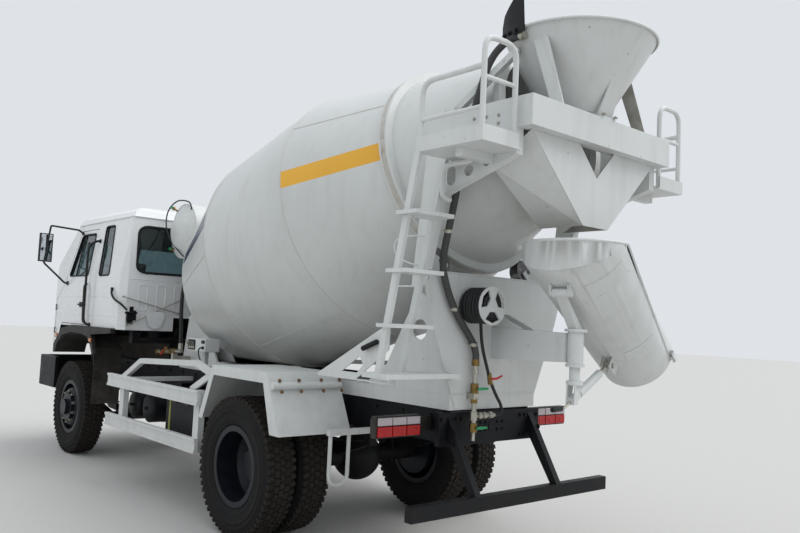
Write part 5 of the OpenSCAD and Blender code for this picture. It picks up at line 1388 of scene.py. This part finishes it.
        # two layers, the second wound back over the first: start, end, radius and steps of each
        for start, end, r, steps in ((-1502, -1683, 88, 144), (-1683, -1502, 109, 126)):
            turns = [math.tau * i / 18 for i in range(steps + 1)]
            coil.tube([spot(start + (end - start) * i / steps, y + r * math.sin(a), z + r * math.cos(a))
                       for i, a in enumerate(turns)], 11, 8)
        coil.rod(spot(-1500, y, z), spot(-1686, y, z), 78, 32)
        coil.piece("reel_winding", HOSE_RUBBER, "chassis")

    def bolts(self) -> None:
        """Put bolts and plugs where the frame, the beams, the flap and the brackets are joined."""
        dark, pale = Shape(), Shape()
        back, sides = Vector((-1, 0, 0)), (-1, 1)
        corners = [spot(-1460, s * y, z) for s in sides for y in (300, 350, 480) for z in (850, 985)]
        dark.bolts(corners, back, 11)
        dark.bolts([spot(-1460, s * y, z) for s in sides for y in (60, 110) for z in (900, 950)], back, 8)
        dark.rod(spot(-1457, 0, 925), spot(-1463, 0, 925), 34, 32)
        rows = [x for x in range(-1300, 4300, 280) if abs(x) > 120]
        dark.bolts([spot(x, s * 430, 1000) for s in sides for x in rows], LEFT, 10)
        dark.bolts([spot(-1515, s * 430, z) for s in sides for z in (905, 830)], LEFT, 11)
        dark.piece("frame_bolts", CHASSIS_PAINT, "chassis")
        flange = ((-1878, 2815), (-1975, 2811), (-2072, 2806))
        pale.bolts([spot(x, s * 732, z + d) for s in sides for x, z in flange for d in (-24, 24)], LEFT, 7)
        pale.bolts([spot(-2335, y, 2935) for y in (-60, 60)], Vector((0, 0, 1)), 9)
        pale.piece("beam_bolts", ZINC, "chassis")
        studs = Shape()
        for turn in (66, 73, 80):
            side = Vector((math.cos(math.radians(turn)), math.sin(math.radians(turn)), 0))
            studs.bolts([spot(-2075, 0, 3424) + side * 0.5205], side, 9)
        studs.piece("flap_studs", SEAL_RUBBER, "chassis")
        grip = Shape()
        grip.rod(spot(-1168, 932, 1424), spot(-1308, 932, 1474), 17, 16)
        grip.rod(spot(-1200, 906, 1436), spot(-1200, 932, 1436), 9, 10)
        grip.rod(spot(-1276, 906, 1462), spot(-1276, 932, 1462), 9, 10)
        grip.piece("ladder_grip", SEAL_RUBBER, "chassis", 2)
        loop = Shape()
        loop.tube(smooth(spots((-1500, 748, 2150), (-1440, 810, 2146), (-1372, 860, 2120), (-1360, 868, 2060),
                               (-1400, 850, 2000), (-1460, 800, 1970), (-1490, 745, 1960)), 5), 6, 8)
        loop.piece("ladder_wire_loop", FRAME_ENAMEL, "chassis")
        lips = Shape()
        for z in (1148, 1940):
            half = 386 + (634 - 386) * (z - 1055) / 578 if z < 1633 else 644
            lips.rod(spot(self.plate_x - 1, -half + 12, z), spot(self.plate_x - 1, half - 12, z), 6, 8)
        gusset = ((self.plate_x, 1590), (self.plate_x, 1690), (-1530, 1690), (-1760, 1592))
        for y, thick in ((55, -0.01), (-55, 0.01)):
            lips.plate([spot(x, y, z) for x, z in gusset], LEFT * thick)
        lips.piece("pedestal_lips", FRAME_ENAMEL, "chassis", 1.5)

    def chute(self) -> None:
        """Weld doubling plates under the chute at its hinge and lug, and put a crank on the strut."""
        swing, slope, spread = math.radians(-80), math.radians(35), 0.42
        ahead = Vector((math.cos(swing), math.sin(swing), 0))
        across = Vector((-math.sin(swing), math.cos(swing), 0))
        down = ahead * math.cos(slope) - Vector((0, 0, math.sin(slope)))
        below = -(ahead * math.sin(slope) + Vector((0, 0, math.cos(slope))))
        inlet = spot(-2130, 0, 2135) + ahead * -0.025
        edge = below * math.cos(-spread) + across * math.sin(-spread)
        plates = Shape()
        for start, end in ((30, 150), (800, 925)):
            row = []
            for s, out in ((start, -1), (start, 6), (end, 6), (end, -1)):
                r = 333 - (333 - 252) * s / 1235 + out
                row.append(inlet + down * (s / 1000) + edge * (r / 1000))
            verts = [plates.bm.verts.new(p) for p in row]
            edges = [plates.bm.edges.new((verts[i], verts[(i + 1) % 4])) for i in range(4)]
            cap = plates.bm.faces.new(verts)
            made = bmesh.ops.spin(plates.bm, geom=verts + edges, cent=inlet, axis=down, angle=-2 * spread,
                                  steps=14, use_duplicate=False)
            ends = [v for v in made["geom_last"] if isinstance(v, bmesh.types.BMVert)]
            bmesh.ops.contextual_create(plates.bm, geom=ends)
            cap.normal_update()
        plates.piece("chute_doublers", FRAME_ENAMEL, "main_chute", 2)
        foot = spot(-2130, 0, 1165) + ahead * -0.035
        away = ahead * -0.928 - Vector((0, 0, 0.373))
        crank, grip = Shape(), Shape()
        bend = foot + away * 0.11
        crank.rod(foot + away * 0.02, bend, 8, 12)
        crank.rod(bend, bend + ahead * -0.05, 8, 12)
        crank.piece("strut_crank", ZINC, "strut_barrel")
        grip.rod(bend + ahead * -0.03, bend + ahead * -0.15, 15, 16)
        grip.piece("strut_crank_grip", SEAL_RUBBER, "strut_barrel", 3)


# what each CAD node that keeps its shape is finished with, and the width in mm of its rounded edges
NODE_FINISHES: dict[Finish, dict[str, float]] = {
    CHASSIS_PAINT: {"frame_rails": 2, "front_axle": 3, "rear_axle": 3, "leaf_springs": 2, "chassis_tanks": 4,
                    "exhaust": 1, "front_bumper": 6, "cab_mounts": 3, "underrun_bar": 4, "knuckle_left": 3,
                    "knuckle_right": 3, "tie_rod": 1},
    FRAME_ENAMEL: {"subframe": 2, "side_guards": 3, "rear_fenders": 2, "drum_reducer": 4, "rear_pedestal": 2,
                   "top_frame": 3, "feed_hopper": 1, "discharge_collector": 2, "platforms": 1.5, "ladder": 2,
                   "hose_reel": 1.5, "control_box": 3, "water_tank": 3, "chute_arm": 2, "main_chute": 1,
                   "extension_chute": 1, "strut_barrel": 1.5},
    CAST_IRON: {"engine_block": 4, "driveline": 2},
    SEAL_RUBBER: {"hopper_flap": 2},
    HOSE_RUBBER: {"water_hoses": 0},
    ZINC: {"water_fittings": 1, "strut_rod": 1},
    RUNNING_STEEL: {"roller_left": 3, "roller_right": 3},
    DARK_PLASTIC: {"tail_lamps": 3, "cab_trim": 4, "dashboard": 6, "mirror_left": 3, "mirror_right": 3},
    CAB_LACQUER: {"cab_shell": 4, "door_left": 2, "door_right": 2},
    WINDOW_GLASS: {"cab_glass": 0, "door_glass_left": 0, "door_glass_right": 0},
    SEAT_CLOTH: {"seats": 0},
    RIM_PAINT: {"front_wheel_left": 2, "front_wheel_right": 2, "rear_wheel_left": 2, "rear_wheel_right": 2},
}

# what lines a node's inside: its finish, the point its faces look at, and how far off they may be, in metres
CAB_INSIDE = (CAB_LINING, spot(3560, 0, 1980), 9.0)
CHUTE_INSIDE = (INNER_GREY, spot(-2000, -480, 2300), 9.0)
LININGS: dict[str, tuple[Finish, Vector, float]] = {
    "cab_shell": CAB_INSIDE, "door_left": CAB_INSIDE, "door_right": CAB_INSIDE,
    "feed_hopper": (INNER_GREY, spot(-2075, 0, 3350), 0.535),
    "discharge_collector": (INNER_GREY, spot(-2130, 0, 2700), 9.0),
    "main_chute": CHUTE_INSIDE, "extension_chute": CHUTE_INSIDE,
}


class CarriedNodes:
    """CAD nodes that keep their shape: each gets its finish, most with softly rounded edges."""

    def build(self) -> None:
        """Dress every CAD node."""
        owner = {n: b for b, nodes in frame["record"]["behaviour"]["bodies"].items() for n in nodes}
        looks = {name: (finish, bevel) for finish, row in NODE_FINISHES.items() for name,
                 bevel in row.items()}
        for name, node in frame["nodes"].items():
            finish, bevel = looks.get(name, (DRUM_ENAMEL, 0))
            node.data.materials.clear()
            node.data.materials.append(finish.material())
            if bevel:
                shape = Shape().take(name)
                lining = LININGS.get(name)
                if lining:
                    self.line(shape, *lining[1:])
                made = shape.piece(f"{name}_edged", finish, owner[name], bevel, 32, (name,), fix=False)
                if lining:
                    made.data.materials.append(lining[0].material())

    @staticmethod
    def line(shape: Shape, point: Vector, reach: float) -> None:
        """Give the second material to the faces that look at a point inside.

        Args:
            shape: Mesh of the node.
            point: Point inside it, in metres.
            reach: How far off the point's upright line a face's middle may be, in metres.
        """
        for face in shape.bm.faces:
            way = point - face.calc_center_median()
            if way.to_2d().length < reach and face.normal.dot(way.normalized()) > 0.25:
                face.material_index = 1


@dataclass
class Studio:
    """Pale floor, soft overcast light and the camera at the photograph's place."""

    floor_half: float = 60.0
    sun_strength: float = 1.5
    sun_width: float = math.radians(50)
    sun_turn: tuple[float, float, float] = (math.radians(28), math.radians(-22), 0)
    eye: tuple[float, float, float] = (-5057, 4068, 1598)
    # degrees: the view's heading, counted to the truck's left, its rise, and its lean about its own line
    yaw: float = -41.342
    pitch: float = 4.152
    roll: float = 2.642
    focal_px: float = 776.8
    width_px: float = 800
    sensor_mm: float = 36.0

    def build(self) -> None:
        """Build the floor, the lights and the camera."""
        floor = Shape()
        bmesh.ops.create_grid(floor.bm, x_segments=1, y_segments=1, size=self.floor_half)
        mesh = bpy.data.meshes.new("floor")
        floor.bm.to_mesh(mesh)
        floor.bm.free()
        ground = bpy.data.objects.new("floor", mesh)
        bpy.context.scene.collection.objects.link(ground)
        material = bpy.data.materials.new("studio_floor")
        material.use_nodes = True
        tree = material.node_tree
        tree.nodes.clear()
        shader = add(tree, "BsdfPrincipled", {"Base Color": linear("#b9b8b5"), "Roughness": 0.9})
        add(tree, "OutputMaterial", {"Surface": shader.outputs[0]})
        mesh.materials.append(material)
        self.sky()
        sun = bpy.data.lights.new("soft_sun", "SUN")
        sun.energy, sun.angle, sun.color = self.sun_strength, self.sun_width, (1.0, 0.99, 0.97)
        lamp = bpy.data.objects.new("soft_sun", sun)
        lamp.rotation_euler = self.sun_turn
        bpy.context.scene.collection.objects.link(lamp)
        self.camera()

    def sky(self) -> None:
        """Set a cloudy sky for light, and a pale backdrop for what looks straight at it."""
        world = bpy.data.worlds.new("overcast")
        bpy.context.scene.world = world
        world.use_nodes = True
        tree = world.node_tree
        tree.nodes.clear()
        way = add(tree, "SeparateXYZ", {"Vector": add(tree, "TexCoord").outputs["Generated"]}).outputs["Z"]
        height = add(tree, "MapRange", {"Value": way, "From Min": -0.1, "From Max": 0.9, "To Min": 0.5,
                                        "To Max": 1.4})
        light = add(tree, "Background", {"Color": linear("#eef2f7"), "Strength": height.outputs[0]})
        backdrop = add(tree, "Background", {"Color": linear("#dfe3e8"), "Strength": 1.0})
        rays = add(tree, "LightPath")
        seen = rays.outputs["Is Camera Ray"]
        for ray in ("Is Transmission Ray", "Is Glossy Ray"):
            seen = add(tree, "Math", {0: seen, 1: rays.outputs[ray]}, operation="MAXIMUM").outputs[0]
        mixed = add(tree, "MixShader", {0: seen, 1: light.outputs[0], 2: backdrop.outputs[0]})
        add(tree, "OutputWorld", {"Surface": mixed.outputs[0]})

    def camera(self) -> None:
        """Stand the camera where the photograph was taken from: behind the truck, on its left."""
        yaw, pitch, roll = (math.radians(a) for a in (self.yaw, self.pitch, self.roll))
        ahead = Vector((math.cos(pitch) * math.cos(yaw), math.cos(pitch) * math.sin(yaw), math.sin(pitch)))
        right = ahead.cross(Vector((0, 0, 1))).normalized()
        above = right.cross(ahead)
        across = right * math.cos(roll) + above * math.sin(roll)
        up = above * math.cos(roll) - right * math.sin(roll)
        lens = bpy.data.cameras.new("photo_camera")
        lens.sensor_width, lens.lens = self.sensor_mm, self.sensor_mm * self.focal_px / self.width_px
        camera = bpy.data.objects.new("photo_camera", lens)
        turned = Matrix((across, up, -ahead)).transposed().to_4x4()
        camera.matrix_world = Matrix.Translation(spot(*self.eye)) @ turned
        bpy.context.scene.collection.objects.link(camera)
        bpy.context.scene.camera = camera
        bpy.context.scene.view_settings.view_transform = "Standard"


def main() -> None:
    """Build the truck's looks in order."""
    logging.basicConfig(level=logging.INFO)
    for part in (Studio(), CarriedNodes(), Drum(), Wheels(), CabDress(), Seats(), TankDress(), SideDress(),
                 RearDress()):
        part.build()
        LOG.info("built %s", type(part).__name__)


if __name__ == "__main__":
    main()
